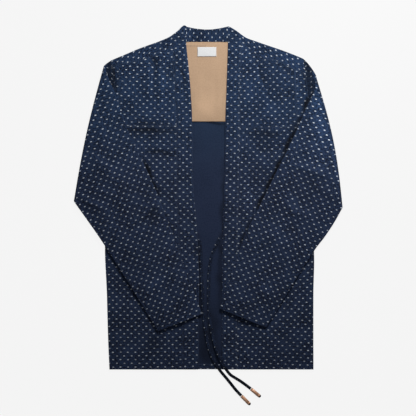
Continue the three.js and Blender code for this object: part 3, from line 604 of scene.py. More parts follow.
def mesh_object(
    name: str,
    points: Array,
    polygons: Sequence[Array],
    materials: Sequence[Material],
    cut: Array | None = None,
    sides: Array | None = None,
    marks: dict[str, Array] | None = None,
) -> Object:
    """Makes an object from whole arrays, turned so that its faces point out.

    Args:
        name: The object's name.
        points: Vertices, in millimetres.
        polygons: Arrays of vertex numbers, each with one polygon a row.
        materials: The material slots.
        cut: Each vertex's place on the cut cloth, in millimetres, for the UV map.
        sides: Each polygon's material slot.
        marks: Values for each vertex, by attribute name. A piece with a cut is given an edge if it has none.

    Returns:
        The object, at the origin, with smooth faces.
    """
    used, flat = np.unique(np.concatenate([p.ravel() for p in polygons]), return_inverse=True)
    points = np.asarray(points, float)[used] * MM
    totals = np.concatenate([np.full(len(p), p.shape[1]) for p in polygons])
    firsts = np.concatenate([[0], np.cumsum(totals)[:-1]])
    if signed_volume(points, flat, firsts, totals) < 0:
        order = np.repeat(firsts + totals - 1, totals) - (np.arange(len(flat)) - np.repeat(firsts, totals))
        flat = flat[order]
    mesh = bpy.data.meshes.new(name)
    mesh.vertices.add(len(points))
    mesh.vertices.foreach_set("co", points.ravel())
    mesh.loops.add(len(flat))
    mesh.loops.foreach_set("vertex_index", flat.astype(np.int32))
    mesh.polygons.add(len(totals))
    mesh.polygons.foreach_set("loop_start", firsts.astype(np.int32))
    mesh.polygons.foreach_set("use_smooth", np.ones(len(totals), bool))
    if sides is not None:
        mesh.polygons.foreach_set("material_index", sides.astype(np.int32))
    for material in materials:
        mesh.materials.append(material)
    mesh.update(calc_edges=True)
    if cut is not None:
        uv = mesh.uv_layers.new(name="cut")
        uv.data.foreach_set("uv", (cut[used][flat] * MM).ravel())
        marks = {"edge": np.full(used.max() + 1, INSIDE), **(marks or {})}
    for key, values in (marks or {}).items():
        attribute = mesh.attributes.new(key, "FLOAT", "POINT")
        attribute.data.foreach_set("value", values[used].astype(np.float32))
    mesh.validate()
    return add_object(name, mesh)


def add_object(name: str, data: ID, at: Sequence[float] = (0, 0, 0)) -> Object:
    """Adds an object to the scene, in metres from the origin."""
    item = bpy.data.objects.new(name, data)
    item.location = at
    bpy.context.scene.collection.objects.link(item)
    return item


def tube_polygons(count: int, size: int) -> tuple[Array, Array]:
    """Returns the quads between rings of points, count rings of size points each, and the two flat ends."""
    ids = np.arange(count * size).reshape(count, size)
    nxt = np.roll(ids, -1, axis=1)
    quads = np.stack([ids[:-1], nxt[:-1], nxt[1:], ids[1:]], -1).reshape(-1, 4)
    return quads, np.stack([ids[0][::-1], ids[-1]])


def closed_tube(rings: Array) -> tuple[Array, tuple[Array, Array]]:
    """Returns the points and the polygons of a tube with flat ends, from an array of rings of points."""
    return rings.reshape(-1, 3), tube_polygons(*rings.shape[:2])


def signed_volume(points: Array, flat: Array, firsts: Array, totals: Array) -> float:
    """Returns six times a closed mesh's volume: the sum of a·(b × c) over the fans of its polygons."""
    volume = 0.0
    for corner in range(1, int(totals.max()) - 1):
        fans = firsts[totals > corner + 1]
        a, b, c = points[flat[fans]], points[flat[fans + corner]], points[flat[fans + corner + 1]]
        volume += float(np.einsum("ij,ij->", a, np.cross(b, c)))
    return volume


def rim_share(edge: Array, radius: float) -> Array:
    """Returns the share of a wall's thickness at a distance from its edge: a quarter circle up to 1."""
    d = np.clip(edge / radius, 0, 1)
    return EDGE_SHARE + (1 - EDGE_SHARE) * np.sqrt(np.maximum(1 - (1 - d) ** 2, 0))


# ---------------------------------------------------------------- shader nodes
class Graph:
    """A node tree that is filled by short calls, each of which returns an output socket."""

    def __init__(self, tree: NodeTree) -> None:
        """Keeps the tree."""
        self.tree = tree

    def add(self, kind: str, inputs: dict[Any, Any] | None = None, **settings: Any) -> Node:
        """Adds a node.

        Args:
            kind: The node's type, without the word that starts each.
            inputs: Values or output sockets for its inputs.
            **settings: The node's own settings.

        Returns:
            The node.
        """
        node = self.tree.nodes.new("ShaderNode" + kind)
        for key, value in settings.items():
            setattr(node, key, value)
        self.feed(node, inputs or {})
        return node

    def feed(self, node: Node, inputs: dict[Any, Any]) -> None:
        """Sets a node's inputs to values, or links them to output sockets."""
        for key, value in inputs.items():
            if isinstance(value, NodeSocket):
                self.tree.links.new(value, node.inputs[key])
            else:
                node.inputs[key].default_value = value

    def math(self, operation: str, *values: Any) -> NodeSocket:
        """Returns the result of a Math node."""
        return self.add("Math", dict(enumerate(values)), operation=operation).outputs[0]

    def vector(self, operation: str, *values: Any) -> NodeSocket:
        """Returns the result of a Vector Math node."""
        node = self.add("VectorMath", dict(enumerate(values)), operation=operation)
        return node.outputs["Value" if operation == "LENGTH" else "Vector"]

    def scaled(self, vector: Any, factor: Any) -> NodeSocket:
        """Returns a vector times a factor."""
        return self.add("VectorMath", {0: vector, "Scale": factor}, operation="SCALE").outputs["Vector"]

    def ramp(self, value: Any, low: float, high: float, to: tuple[float, float] = (0, 1)) -> Any:
        """Returns a value that goes smoothly from to[0] at low to to[1] at high."""
        inputs = {"Value": value, 1: low, 2: high, 3: to[0], 4: to[1]}
        return self.add("MapRange", inputs, interpolation_type="SMOOTHSTEP").outputs[0]

    def mix(self, share: Any, a: Any, b: Any) -> NodeSocket:
        """Returns a colour a share of the way from a to b."""
        inputs = {0: share, 6: opaque(a), 7: opaque(b)}
        return self.add("Mix", inputs, data_type="RGBA").outputs[2]

    def noise(self, vector: Any, size: float, detail: float = 2.0) -> NodeSocket:
        """Returns smooth noise of the given size in metres, from 0 to 1 about 0.5."""
        return self.add("TexNoise", {"Vector": vector, "Scale": 1 / size, "Detail": detail}).outputs["Fac"]

    def bump(self, height: Any, strength: float, distance: float) -> NodeSocket:
        """Returns a normal that follows a height."""
        inputs = {"Height": height, "Strength": strength, "Distance": distance}
        return self.add("Bump", inputs).outputs["Normal"]


def opaque(colour: Any) -> Any:
    """Returns a colour with an alpha of 1; a socket is returned as it is."""
    return colour if isinstance(colour, NodeSocket) else (*colour, 1.0)


def new_material(name: str) -> tuple[Material, Graph, Node]:
    """Returns a new material, its graph and its shader."""
    material = bpy.data.materials.new(name)
    material.use_nodes = True
    return material, Graph(material.node_tree), material.node_tree.nodes["Principled BSDF"]


def new_group(name: str, inputs: dict[str, Any], outputs: Sequence[str]) -> tuple[Graph, Any, Any]:
    """Makes an empty node group.

    Args:
        name: The group's name.
        inputs: Default values by input name: three numbers for a vector, one for a value.
        outputs: Names of its outputs, which are values.

    Returns:
        The graph, its input node and its output node.
    """
    tree = bpy.data.node_groups.new(name, "ShaderNodeTree")
    for key, value in inputs.items():
        kind = "NodeSocketVector" if isinstance(value, tuple) else "NodeSocketFloat"
        socket = tree.interface.new_socket(name=key, in_out="INPUT", socket_type=kind)
        socket.default_value = value
    for key in outputs:
        tree.interface.new_socket(name=key, in_out="OUTPUT", socket_type="NodeSocketFloat")
    return Graph(tree), tree.nodes.new("NodeGroupInput"), tree.nodes.new("NodeGroupOutput")


def dash_group() -> NodeTree:
    """Pale dashes in a half-drop repeat.

    A point belongs to a dash if its distances from the nearest point of a lattice, over the dash's half
    length and half width, have a length below 1. The lattice is read twice, the second time shifted by half
    a repeat both ways. A random colour for each lattice point shifts its dash and sets how strong it is.
    """
    inputs = {
        "Vector": (0.0, 0.0, 0.0),
        "Repeat": (0.0171, 0.017, 1.0),
        "Half dash": (0.00215, 0.00112, 1.0),
        "Shift": (0.0012, 0.0008, 0.0),
    }
    soft_edge = (1.2, 0.75)  # over these lengths a dash goes from nothing to its full strength
    weakest = 0.62  # strength of the weakest dash over that of the strongest
    graph, given, result = new_group("dash repeat", inputs, ("Strength",))
    at = graph.vector("DIVIDE", given.outputs["Vector"], given.outputs["Repeat"])
    strengths = []
    for half in (0.0, 0.5):
        place = graph.vector("ADD", at, (half, half, 0))
        cell = graph.vector("FLOOR", graph.vector("ADD", place, (0.5, 0.5, 0.5)))
        chance = graph.add("TexWhiteNoise", {"Vector": graph.vector("ADD", cell, (0.3 + half, 0.1, 0.7))})
        away = graph.vector("MULTIPLY", graph.vector("SUBTRACT", place, cell), given.outputs["Repeat"])
        centred = graph.vector("SUBTRACT", chance.outputs["Color"], (0.5, 0.5, 0.5))
        away = graph.vector("ADD", away, graph.vector("MULTIPLY", centred, given.outputs["Shift"]))
        near = graph.vector("LENGTH", graph.vector("DIVIDE", away, given.outputs["Half dash"]))
        inside = graph.ramp(near, *soft_edge)
        strength = graph.ramp(chance.outputs["Value"], 0, 1, (weakest, 1))
        strengths.append(graph.math("MULTIPLY", inside, strength))
    graph.feed(result, {"Strength": graph.math("MAXIMUM", *strengths)})
    return graph.tree


def weave_group() -> NodeTree:
    """A plain weave: Height is 0.5 + 0.5·sin(2πu/t)·sin(2πv/t), and Slub is noise drawn out along u."""
    inputs = {"Vector": (0.0, 0.0, 0.0), "Thread": 0.0008}
    graph, given, result = new_group("plain weave", inputs, ("Height", "Slub"))
    turns = graph.math("DIVIDE", 2 * np.pi, given.outputs["Thread"])
    angles = graph.add("SeparateXYZ", {0: graph.scaled(given.outputs["Vector"], turns)})
    waves = [graph.math("SINE", angles.outputs[axis]) for axis in ("X", "Y")]
    height = graph.math("MULTIPLY_ADD", graph.math("MULTIPLY", *waves), 0.5, 0.5)
    drawn_out = graph.vector("MULTIPLY", given.outputs["Vector"], (0.18, 1, 1))
    graph.feed(result, {"Height": height, "Slub": graph.noise(drawn_out, 0.0016, 3.0)})
    return graph.tree


def mottle_group() -> NodeTree:
    """Uneven dye: noise of two sizes, the fine one three times as strong as the broad one."""
    inputs = {"Vector": (0.0, 0.0, 0.0)}
    graph, given, result = new_group("uneven dye", inputs, ("Tone",))
    fine = graph.noise(given.outputs["Vector"], 0.0033, 2.5)
    broad = graph.noise(given.outputs["Vector"], 0.05, 2.0)
    both = graph.math("ADD", graph.math("MULTIPLY", fine, 0.75), graph.math("MULTIPLY", broad, 0.25))
    graph.feed(result, {"Tone": graph.ramp(both, 0.36, 0.64)})
    return graph.tree


class Shared:
    """The node groups that more than one finish uses, each built once."""

    def __init__(self) -> None:
        """Builds the groups."""
        self.dash = dash_group()
        self.weave = weave_group()
        self.mottle = mottle_group()


# ---------------------------------------------------------------- finishes
@dataclass(frozen=True)
class Cotton:
    """Woven cotton, dyed in one colour, with or without the repeat of pale dashes.

    Attributes:
        name: The material's name.
        deep: The dye at its darkest.
        light: And at its lightest.
        worn: The colour that the cloth turns to at its edges; on the indigo, folded edges rubbed pale with a
            painted highlight.
        dash: The dashes' colour, or None for plain cloth.
        thread: The weave's pitch, in metres.
        relief: Depth of the weave in metres.
        dash_relief: How far the dashes stand up, in metres.
        sheen: How strongly the nap catches light.
        hem_light_tint: What the colour is multiplied by towards the hem: the painted colour of the light,
            less blue there.
        light_tint_span: The heights over which that painted colour of the light gives way to none, in
            metres.
        edge_reach: Distance from an edge over which the cloth turns to that colour, in millimetres, and how
            far it turns.
        rough: Roughness where the dye is darkest and where it is lightest.
        tones: What the colour is multiplied by at a tone of −1, painted shade, and at 1, painted light.
    """

    name: str
    deep: Colour
    light: Colour
    worn: Colour
    dash: Colour | None = None
    thread: float = 0.0008
    relief: float = 0.00012
    dash_relief: float = 0.00025
    sheen: float = 0.03
    hem_light_tint: Colour = (1.0, 1.0, 1.0)
    light_tint_span: tuple[float, float] = (0.01, 0.25)
    edge_reach: tuple[float, float] = (2.0, 0.4)
    rough: tuple[float, float] = (0.94, 0.82)
    tones: tuple[float, float] = (0.12, 1.7)

    def material(self, shared: Shared) -> Material:
        """Returns the finish as a material that reads the piece's own cut coordinates."""
        material, graph, shader = new_material(self.name)
        cut = graph.add("UVMap", uv_map="cut").outputs["UV"]
        weave = graph.add("Group", {"Vector": cut, "Thread": self.thread}, node_tree=shared.weave)
        tone = graph.add("Group", {"Vector": cut}, node_tree=shared.mottle).outputs["Tone"]
        slub = graph.math("MULTIPLY_ADD", weave.outputs["Slub"], 0.6, tone)
        colour = graph.mix(graph.ramp(slub, 0.15, 1.15), self.deep, self.light)
        edge = graph.add("Attribute", attribute_name="edge").outputs["Fac"]
        # Near its edges the cloth turns to its worn colour: folded edges rubbed pale, with a painted
        # highlight.
        reach_from, reach_share = self.edge_reach
        colour = graph.mix(graph.ramp(edge, reach_from, 0.0, (0, reach_share)), colour, self.worn)
        place = graph.add("SeparateXYZ", {0: graph.add("TexCoord").outputs["Object"]})
        # Painted colour of the light, which grows less blue from the collar down to the hem.
        light_tint = graph.mix(graph.ramp(place.outputs["Y"], *self.light_tint_span), self.hem_light_tint, (1.0, 1.0, 1.0))
        colour = graph.vector("MULTIPLY", colour, light_tint)
        height = graph.math("MULTIPLY", weave.outputs["Height"], self.relief)
        if self.dash:
            strength = graph.add("Group", {"Vector": cut}, node_tree=shared.dash).outputs["Strength"]
            colour = graph.mix(strength, colour, self.dash)
            height = graph.math("MULTIPLY_ADD", strength, self.dash_relief, height)
        # The tone attribute: painted light and shade, with uneven dye, that scales the colour.
        change = graph.add("Attribute", attribute_name="tone").outputs["Fac"]
        darkened = graph.ramp(change, -1, 0, (self.tones[0], 1))
        lightened = graph.ramp(change, 0, 1, (1, self.tones[1]))
        graph.feed(shader, {
            "Base Color": graph.scaled(colour, graph.math("MULTIPLY", lightened, darkened)),
            "Roughness": graph.ramp(tone, 0, 1, self.rough),
            "Normal": graph.bump(height, 0.8, 1.0),
            "Specular IOR Level": 0.15,
            "Sheen Weight": self.sheen,
            "Sheen Roughness": 0.5,
        })
        return material


@dataclass(frozen=True)
class Copper:
    """Copper-toned metal, turned and lightly worn."""

    name: str = "copper"
    bright: Colour = (0.95, 0.58, 0.39)
    dull: Colour = (0.7, 0.38, 0.23)

    def material(self) -> Material:
        """Returns the finish: fine scratches and a slow change of tone over Object coordinates."""
        material, graph, shader = new_material(self.name)
        place = graph.add("TexCoord").outputs["Object"]
        tone = graph.noise(place, 0.006, 3.0)
        scratches = graph.noise(place, 0.0006, 2.0)
        graph.feed(shader, {
            "Base Color": graph.mix(graph.ramp(tone, 0.35, 0.65), self.dull, self.bright),
            "Roughness": graph.ramp(scratches, 0.3, 0.7, (0.5, 0.66)),
            "Normal": graph.bump(scratches, 0.12, 0.0002),
            "Metallic": 0.6,
        })
        return material


@dataclass(frozen=True)
class Wardrobe:
    """Every material of the jacket."""

    dashed: Material
    plain: Material
    tan: Material
    white: Material
    thread: Material
    tan_thread: Material
    dark: Material
    copper: Material

    @classmethod
    def dyed(cls) -> "Wardrobe":
        """Builds the finishes."""
        shared = Shared()
        tan = ((0.468, 0.315, 0.203), (0.502, 0.34, 0.223), (0.4, 0.26, 0.16))
        finishes = {
            "dashed": Cotton("indigo dashed cotton", (0.0045, 0.0075, 0.017), (0.0168, 0.0392, 0.095),
                             (0.032, 0.057, 0.11), dash=(0.54, 0.59, 0.67), hem_light_tint=(1.17, 0.9, 0.87)),
            "plain": Cotton("indigo plain cotton", (0.0127, 0.027, 0.0588), (0.0155, 0.033, 0.0705),
                            (0.0165, 0.034, 0.0705), hem_light_tint=(1.19, 0.9, 0.95)),
            "tan": Cotton("tan cotton", *tan, thread=0.0006, relief=0.00005),
            "white": Cotton("label tape", (0.68, 0.69, 0.69), (0.73, 0.735, 0.74), (0.7, 0.705, 0.71),
                            thread=0.0004, relief=0.00004),
            "thread": Cotton("navy thread", (0.02, 0.03, 0.06), (0.05, 0.07, 0.12), (0.05, 0.07, 0.12)),
            "tan_thread": Cotton("tan thread", *tan),
            # The cord's end in the metal tip, near-black as painted shade of the hollow.
            "dark": Cotton("dark cord end", (0.003, 0.003, 0.005), (0.006, 0.006, 0.01),
                           (0.006, 0.006, 0.01)),
        }
        cottons = {key: cotton.material(shared) for key, cotton in finishes.items()}
        return cls(**cottons, copper=Copper().material())


class Slot(Enum):
    """The record's material slots."""

    INDIGO = "indigo_cotton"
    TAN = "tan_cotton"
    LABEL = "label_tape"
    COPPER = "copper"


def put_on(piece: Object, slot: Slot, *nodes: str) -> Object:
    """Rides a piece on the jacket's body and lets it stand for solids.

    Args:
        piece: The finished piece.
        slot: The record's material slot; not used.
        *nodes: The solids that it replaces.

    Returns:
        The piece.
    """
    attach(piece, "root")
    if nodes:
        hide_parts(*nodes)
    LOG.info("%s: %d faces", piece.name, len(piece.data.polygons))
    return piece


def lay_cloth(shell: Shell, node: str, sides: Sequence[Material], slot: Slot = Slot.INDIGO,
              ending: str = "_cloth") -> None:
    """Args:
        shell: The piece's shell.
        node: The solid that it stands for.
        sides: Materials of its right side and its wrong side.
        slot: The record's material slot; not used.
        ending: What its name adds to the solid's.
    """
    piece = put_on(shell.object(node + ending, sides), slot, node)
    flat, area = shell.flat_size()


# ---------------------------------------------------------------- stitches
@dataclass
class Stitching:
    """Rows of small stitches that lie on the cloth, joined into one mesh."""

    name: str
    pitch: float = 3.4
    length: float = 2.5
    radius: float = 0.3
    reach: float = 1.2  # how far each way a stitch looks along its row for its direction
    rows: list[Array] = field(default_factory=list)

    def sew(self, line: Array) -> None:
        """Adds a row along a line of points on the cloth's surface, in millimetres."""
        self.rows.append(line)

    def build(self, material: Material, slot: Slot) -> Object:
        """Returns the stitches.

        Each is a bead of four rings of six points, swept along the row: at a share s from −1 to 1 of its
        half length its radius is r·sqrt(1 − 0.85·s²), and it is 0.8 as high as wide. The copies are one
        array: middles, plus the bead's shape turned into each row's direction.
        """
        middles, along = [], []
        for line in self.rows:
            lengths = lengths_along(line)
            at = np.arange(self.pitch / 2, lengths[-1], self.pitch)
            reach = (-self.reach, self.reach)
            ends = [np.stack([np.interp(at + d, lengths, axis) for axis in line.T], -1) for d in reach]
            middles.append((ends[0] + ends[1]) / 2)
            along.append(ends[1] - ends[0])
        middle, ahead = np.concatenate(middles)[:, None], unit(np.concatenate(along))
        across = unit(np.cross([0, 0, 1], ahead))
        up = np.cross(ahead, across)
        share = np.array([-1, -0.5, 0.5, 1])[:, None]
        radius = self.radius * np.sqrt(1 - 0.85 * share**2)
        cosine, sine = circle(6)
        shape = (share * self.length / 2 + 0 * cosine, radius * cosine, radius * sine * 0.8)
        shape = [s.reshape(1, -1, 1) for s in shape]
        points = middle + shape[0] * ahead[:, None] + shape[1] * across[:, None] + shape[2] * up[:, None]
        start = np.arange(len(points))[:, None, None] * points.shape[1]
        parts = tube_polygons(len(share), len(sine))
        polygons = [(start + part).reshape(-1, part.shape[1]) for part in parts]
        flat = points.reshape(-1, 3)
        piece = mesh_object(self.name, flat, polygons, [material], cut=flat[:, :2])
        return put_on(piece, slot)


# ---------------------------------------------------------------- flat panels
@dataclass
class Panel:
    """A panel that lies flat between two edges x(y), from a level lower edge up to a line y(x)."""

    name: str
    edge_a: Line
    edge_b: Line
    bottom_y: float
    top_line: Line
    cut: Callable[[Array, Array], Array]
    relief: Relief
    base: Callable[[Array, Array], Array] = on_back
    thickness: float = CLOTH
    rounding: float = 0.0
    rim: float = RIM

    def plan(self, u: Array, v: Array) -> tuple[Array, Array]:
        """Returns the plan of the panel.

        Column u ends where y = top_line(x) meets x = lerp(edge_a(y), edge_b(y), u), found in six steps, and
        v is the share of the way up to there.
        """
        u, v = np.broadcast_arrays(np.asarray(u, float), np.asarray(v, float))
        foot = (self.edge_a(self.bottom_y) + self.edge_b(self.bottom_y)) / 2
        top = np.full(u.shape, float(self.top_line(foot)))
        for _ in range(6):
            top = self.top_line(lerp(self.edge_a(top), self.edge_b(top), u))
        y = lerp(self.bottom_y, top, v)
        return lerp(self.edge_a(y), self.edge_b(y), u), y

    def surface(self, u: Array, v: Array) -> Shell:
        """Returns the panel over a grid of shares u across it and v up it.

        The middle of the wall is the underside plus half the thickness plus the relief. The wall is
        thickness·(1 − rounding·(2·|u − 0.5|)⁴) thick, and thins in a quarter circle at its edges.
        """
        x, y = self.plan(u, v)
        zero, one = np.zeros_like(u), np.ones_like(u)
        width = np.abs(self.plan(one, v)[0] - self.plan(zero, v)[0])
        length = self.plan(u, one)[1] - self.bottom_y
        edge = from_edges(u, width, v, length)
        full = self.thickness * (1 - self.rounding * (2 * np.abs(u - 0.5)) ** 4)
        half = full / 2 * rim_share(edge, self.rim)
        z = self.base(x, y) + full / 2 + self.relief(x, y, edge)
        return Shell.level(x, y, z, half, self.cut(x, y), edge, self.relief.tone(x, y))

    def grid(self) -> Shell:
        """Returns the whole panel at the meshes' spacing."""
        (x0, x1), _ = self.plan(np.array([0.0, 1.0]), np.array([0.3, 0.3]))
        length = float(self.plan(np.array([0.5]), np.array([1.0]))[1][0]) - self.bottom_y
        return self.surface(*np.meshgrid(stations(abs(x1 - x0)), stations(length)))

    def build(self, right_side: Material, wrong_side: Material, held: str = "laid",
              rests_on: Sequence[str] = ("back",)) -> None:
        """Makes the panel's piece, which stands for the solid of its own name."""
        lay_cloth(self.grid(), self.name, [right_side, wrong_side])

    def row(self, height: float) -> Array:
        """Returns a line across the panel, a height above its lower edge (below its top if negative)."""
        margin = 2 / 140  # share of its width left at each side
        u = 0.5 + (np.linspace(0, 1, 160) - 0.5) * (1 - 2 * margin)
        length = self.plan(u, np.ones_like(u))[1] - self.bottom_y
        v = height / length if height > 0 else 1 + height / length
        return self.surface(u[None], v[None]).outer[0]

    def column(self, distance: float) -> Array:
        """Returns a line up the panel, the given distance from edge_a (from edge_b if negative)."""
        v = np.linspace(0.004, 0.996, 400)
        width = np.abs(self.plan(np.ones_like(v), v)[0] - self.plan(np.zeros_like(v), v)[0])
        u = distance / width if distance > 0 else 1 + distance / width
        return self.surface(u[None], v[None]).outer[0]


@dataclass
class Side:
    """The pieces of one side that lie on the back: front yoke, front, armhole band and collar band."""

    outline: Outline
    yoke_grain: Grain
    front_grain: Grain
    collar_dash: tuple[float, float]
    collar_lean: float = 0.027  # slope of the collar's rows of dashes across it
    band_dash: tuple[float, float] = (4.0, 60.0)  # where one of the armhole band's dashes lies

    def forward(self, x: Array) -> Array:
        """Returns y of the front yoke's upper edge."""
        return self.outline.forward_seam(x) + SEAM

    def seam(self, y: Array) -> Array:
        """Returns x of the fronts' edge beside the collar band."""
        return self.outline.collar_seam(y) - self.outline.side * SEAM

    def band_inner(self, y: Array) -> Array:
        """Returns x of the fronts' edge beside the armhole band."""
        return self.outline.band_inner(y) + self.outline.side * SEAM

    def front_outer(self, y: Array) -> Array:
        """Returns x of the front's outer edge, which swings out to the side seam below the armhole band."""
        body, band = self.outline.body(y), self.band_inner(BAND_END_Y)
        swung = lerp(body, band, smoothstep(y, UNDERARM_Y - RISE, BAND_END_Y))
        return np.where(np.asarray(y) > BAND_END_Y, self.band_inner(y), swung)

    def collar_cut(self, x: Array, y: Array) -> Array:
        """Returns places on the collar band's cut, whose columns of dashes follow its seam."""
        x0, y0 = self.collar_dash
        across = (x - self.outline.collar_seam(y)) - (x0 - self.outline.collar_seam(y0))
        return np.stack([across, y - y0 + self.outline.side * self.collar_lean * across], axis=-1)

    def band_cut(self, x: Array, y: Array) -> Array:
        """Returns places on the armhole band's cut, a straight strip along the armhole."""
        from_seam, height = self.band_dash
        across = x - self.outline.band_inner(y) + self.outline.side * from_seam
        return np.stack([across, y - height], axis=-1)

    def panels(self) -> dict[str, Panel]:
        """Returns the side's panels by name, without the side's own name."""
        o = self.outline
        seed = 20 + o.side

        def creased(piece: str, waves: Waves) -> Relief:
            """Returns a piece's relief."""
            name = f"{piece}_{o.name}"
            return Relief(CREASES.get(name, ()), PAINTED_SHADING[name], waves, Waves(seed, 15, 0.14))

        front_top = o.yoke_seam_y + SEAM / 2
        yoke = Panel(f"front_yoke_{o.name}", self.band_inner, self.seam, o.yoke_seam_y - SEAM / 2,
                     self.forward, self.yoke_grain.cut, creased("front_yoke", Waves(seed + 1, 60, 0.16)))
        front = Panel(f"front_{o.name}", self.front_outer, self.seam, HEM_Y, lambda x: front_top + 0 * x,
                      self.front_grain.cut, creased("front", Waves(seed + 2, 75, 0.3)))
        band = Panel(f"armhole_band_{o.name}", o.body, o.band_inner, BAND_END_Y, self.forward,
                     self.band_cut, creased("armhole_band", Waves(3, 40, 0.05)))
        collar = Panel(f"collar_{o.name}", o.collar_seam, o.opening, HEM_Y, o.collar_top, self.collar_cut,
                       creased("collar", Waves(seed + 3, 50, 0.12)), thickness=BAND, rounding=BAND_ROUNDING,
                       rim=BAND_RIM)
        return {"yoke": yoke, "front": front, "band": band, "collar": collar}

    def build(self, wardrobe: Wardrobe) -> None:
        """Makes the side's pieces and sews them."""
        panels = self.panels()
        yoke, front, band, collar = panels["yoke"], panels["front"], panels["band"], panels["collar"]
        yoke.build(wardrobe.dashed, wardrobe.plain, rests_on=("back_yoke", "yoke_lining"))
        front.build(wardrobe.dashed, wardrobe.plain)
        band.build(wardrobe.dashed, wardrobe.plain, rests_on=("back", "back_yoke"))
        collar.build(wardrobe.dashed, wardrobe.dashed, held="folded")
        stitches = Stitching(f"topstitching_{self.outline.name}")
        for row in (yoke.row(2.4), yoke.column(-2.2), front.row(12.0), front.row(-2.4), collar.column(2.6),
                    band.column(1.8), band.column(-1.8)):
            stitches.sew(row)
        stitches.build(wardrobe.thread, Slot.INDIGO)


# ---------------------------------------------------------------- the back
@dataclass(frozen=True)
class Back:
    """The back panel: flat on the table, its hem turned up inside, its right side down."""

    grain: Grain = Grain(0, -380, 0)
    width: float = 470.0  # about how wide it is, for its mesh and its edges
    arc_steps: int = 8
    most_raised: float = 0.8

    def grid(self) -> Shell:
        """Returns the panel.

        Seen from the side it is a straight line at half the cloth's thickness, a half circle of radius
        LAYER / 2 at the hem, and a second straight line a layer up. The cut runs on past the fold.
        """
        radius = LAYER / 2
        turn_y = HEM_Y + radius + CLOTH / 2
        top_y = BACK_SEAM_Y + SEAM / 2
        flat = lerp(top_y, turn_y, stations(top_y - turn_y))
        angle = np.linspace(0, np.pi, self.arc_steps + 1)[1:-1]
        turned = lerp(turn_y, HEM_Y + HEM_TURN, stations(HEM_TURN - radius, 2.0))
        out = np.concatenate([0 * flat, np.sin(angle), 0 * turned])
        up = np.concatenate([0 * flat - 1, -np.cos(angle), 0 * turned + 1])
        axis_y = np.concatenate([flat, 0 * angle + turn_y, turned])
        past = np.concatenate([0 * flat, radius * angle, np.pi * radius + turned - turn_y])
        cut_y = np.where(past > 0, turn_y - past, axis_y)
        u = stations(self.width)
        y = axis_y[:, None] + 0 * u
        x = lerp(RIGHT.body(y), LEFT.body(y), u)
        edge = np.minimum(np.minimum(u, 1 - u) * self.width, (top_y - cut_y)[:, None])
        edge = np.minimum(edge, (cut_y - cut_y.min())[:, None])
        half = CLOTH / 2 * rim_share(edge, RIM)
        centre_z = CLOTH / 2 + radius
        below, above = radius + half, radius - half
        on_table = smoothstep(-up, 0.9, 1.0)[:, None]
        calm = smoothstep(edge, 0, CALM)
        raised = np.minimum(summed(CREASES["underside"], x, y) * on_table * calm, self.most_raised)
        shown = summed(CREASES["back"], x, y) * on_table * calm
        outer = np.stack([x, y - below * out[:, None], centre_z + below * up[:, None] + raised], -1)
        inner = np.stack([x, y - above * out[:, None], centre_z + above * up[:, None] + shown], -1)
        tone = Relief(painted_shading=PAINTED_SHADING["back"]).tone(x, y)
        return Shell(outer, inner, self.grain.cut(x, cut_y[:, None] + 0 * x), edge, tone)

    def build(self, wardrobe: Wardrobe, stitches: Stitching) -> None:
        """Makes the panel and stitches its hem."""
        shell = self.grid()
        lay_cloth(shell, "back", [wardrobe.dashed, wardrobe.plain])
        stitches.sew(shell.outer[HEM_ROW, 3:-3])


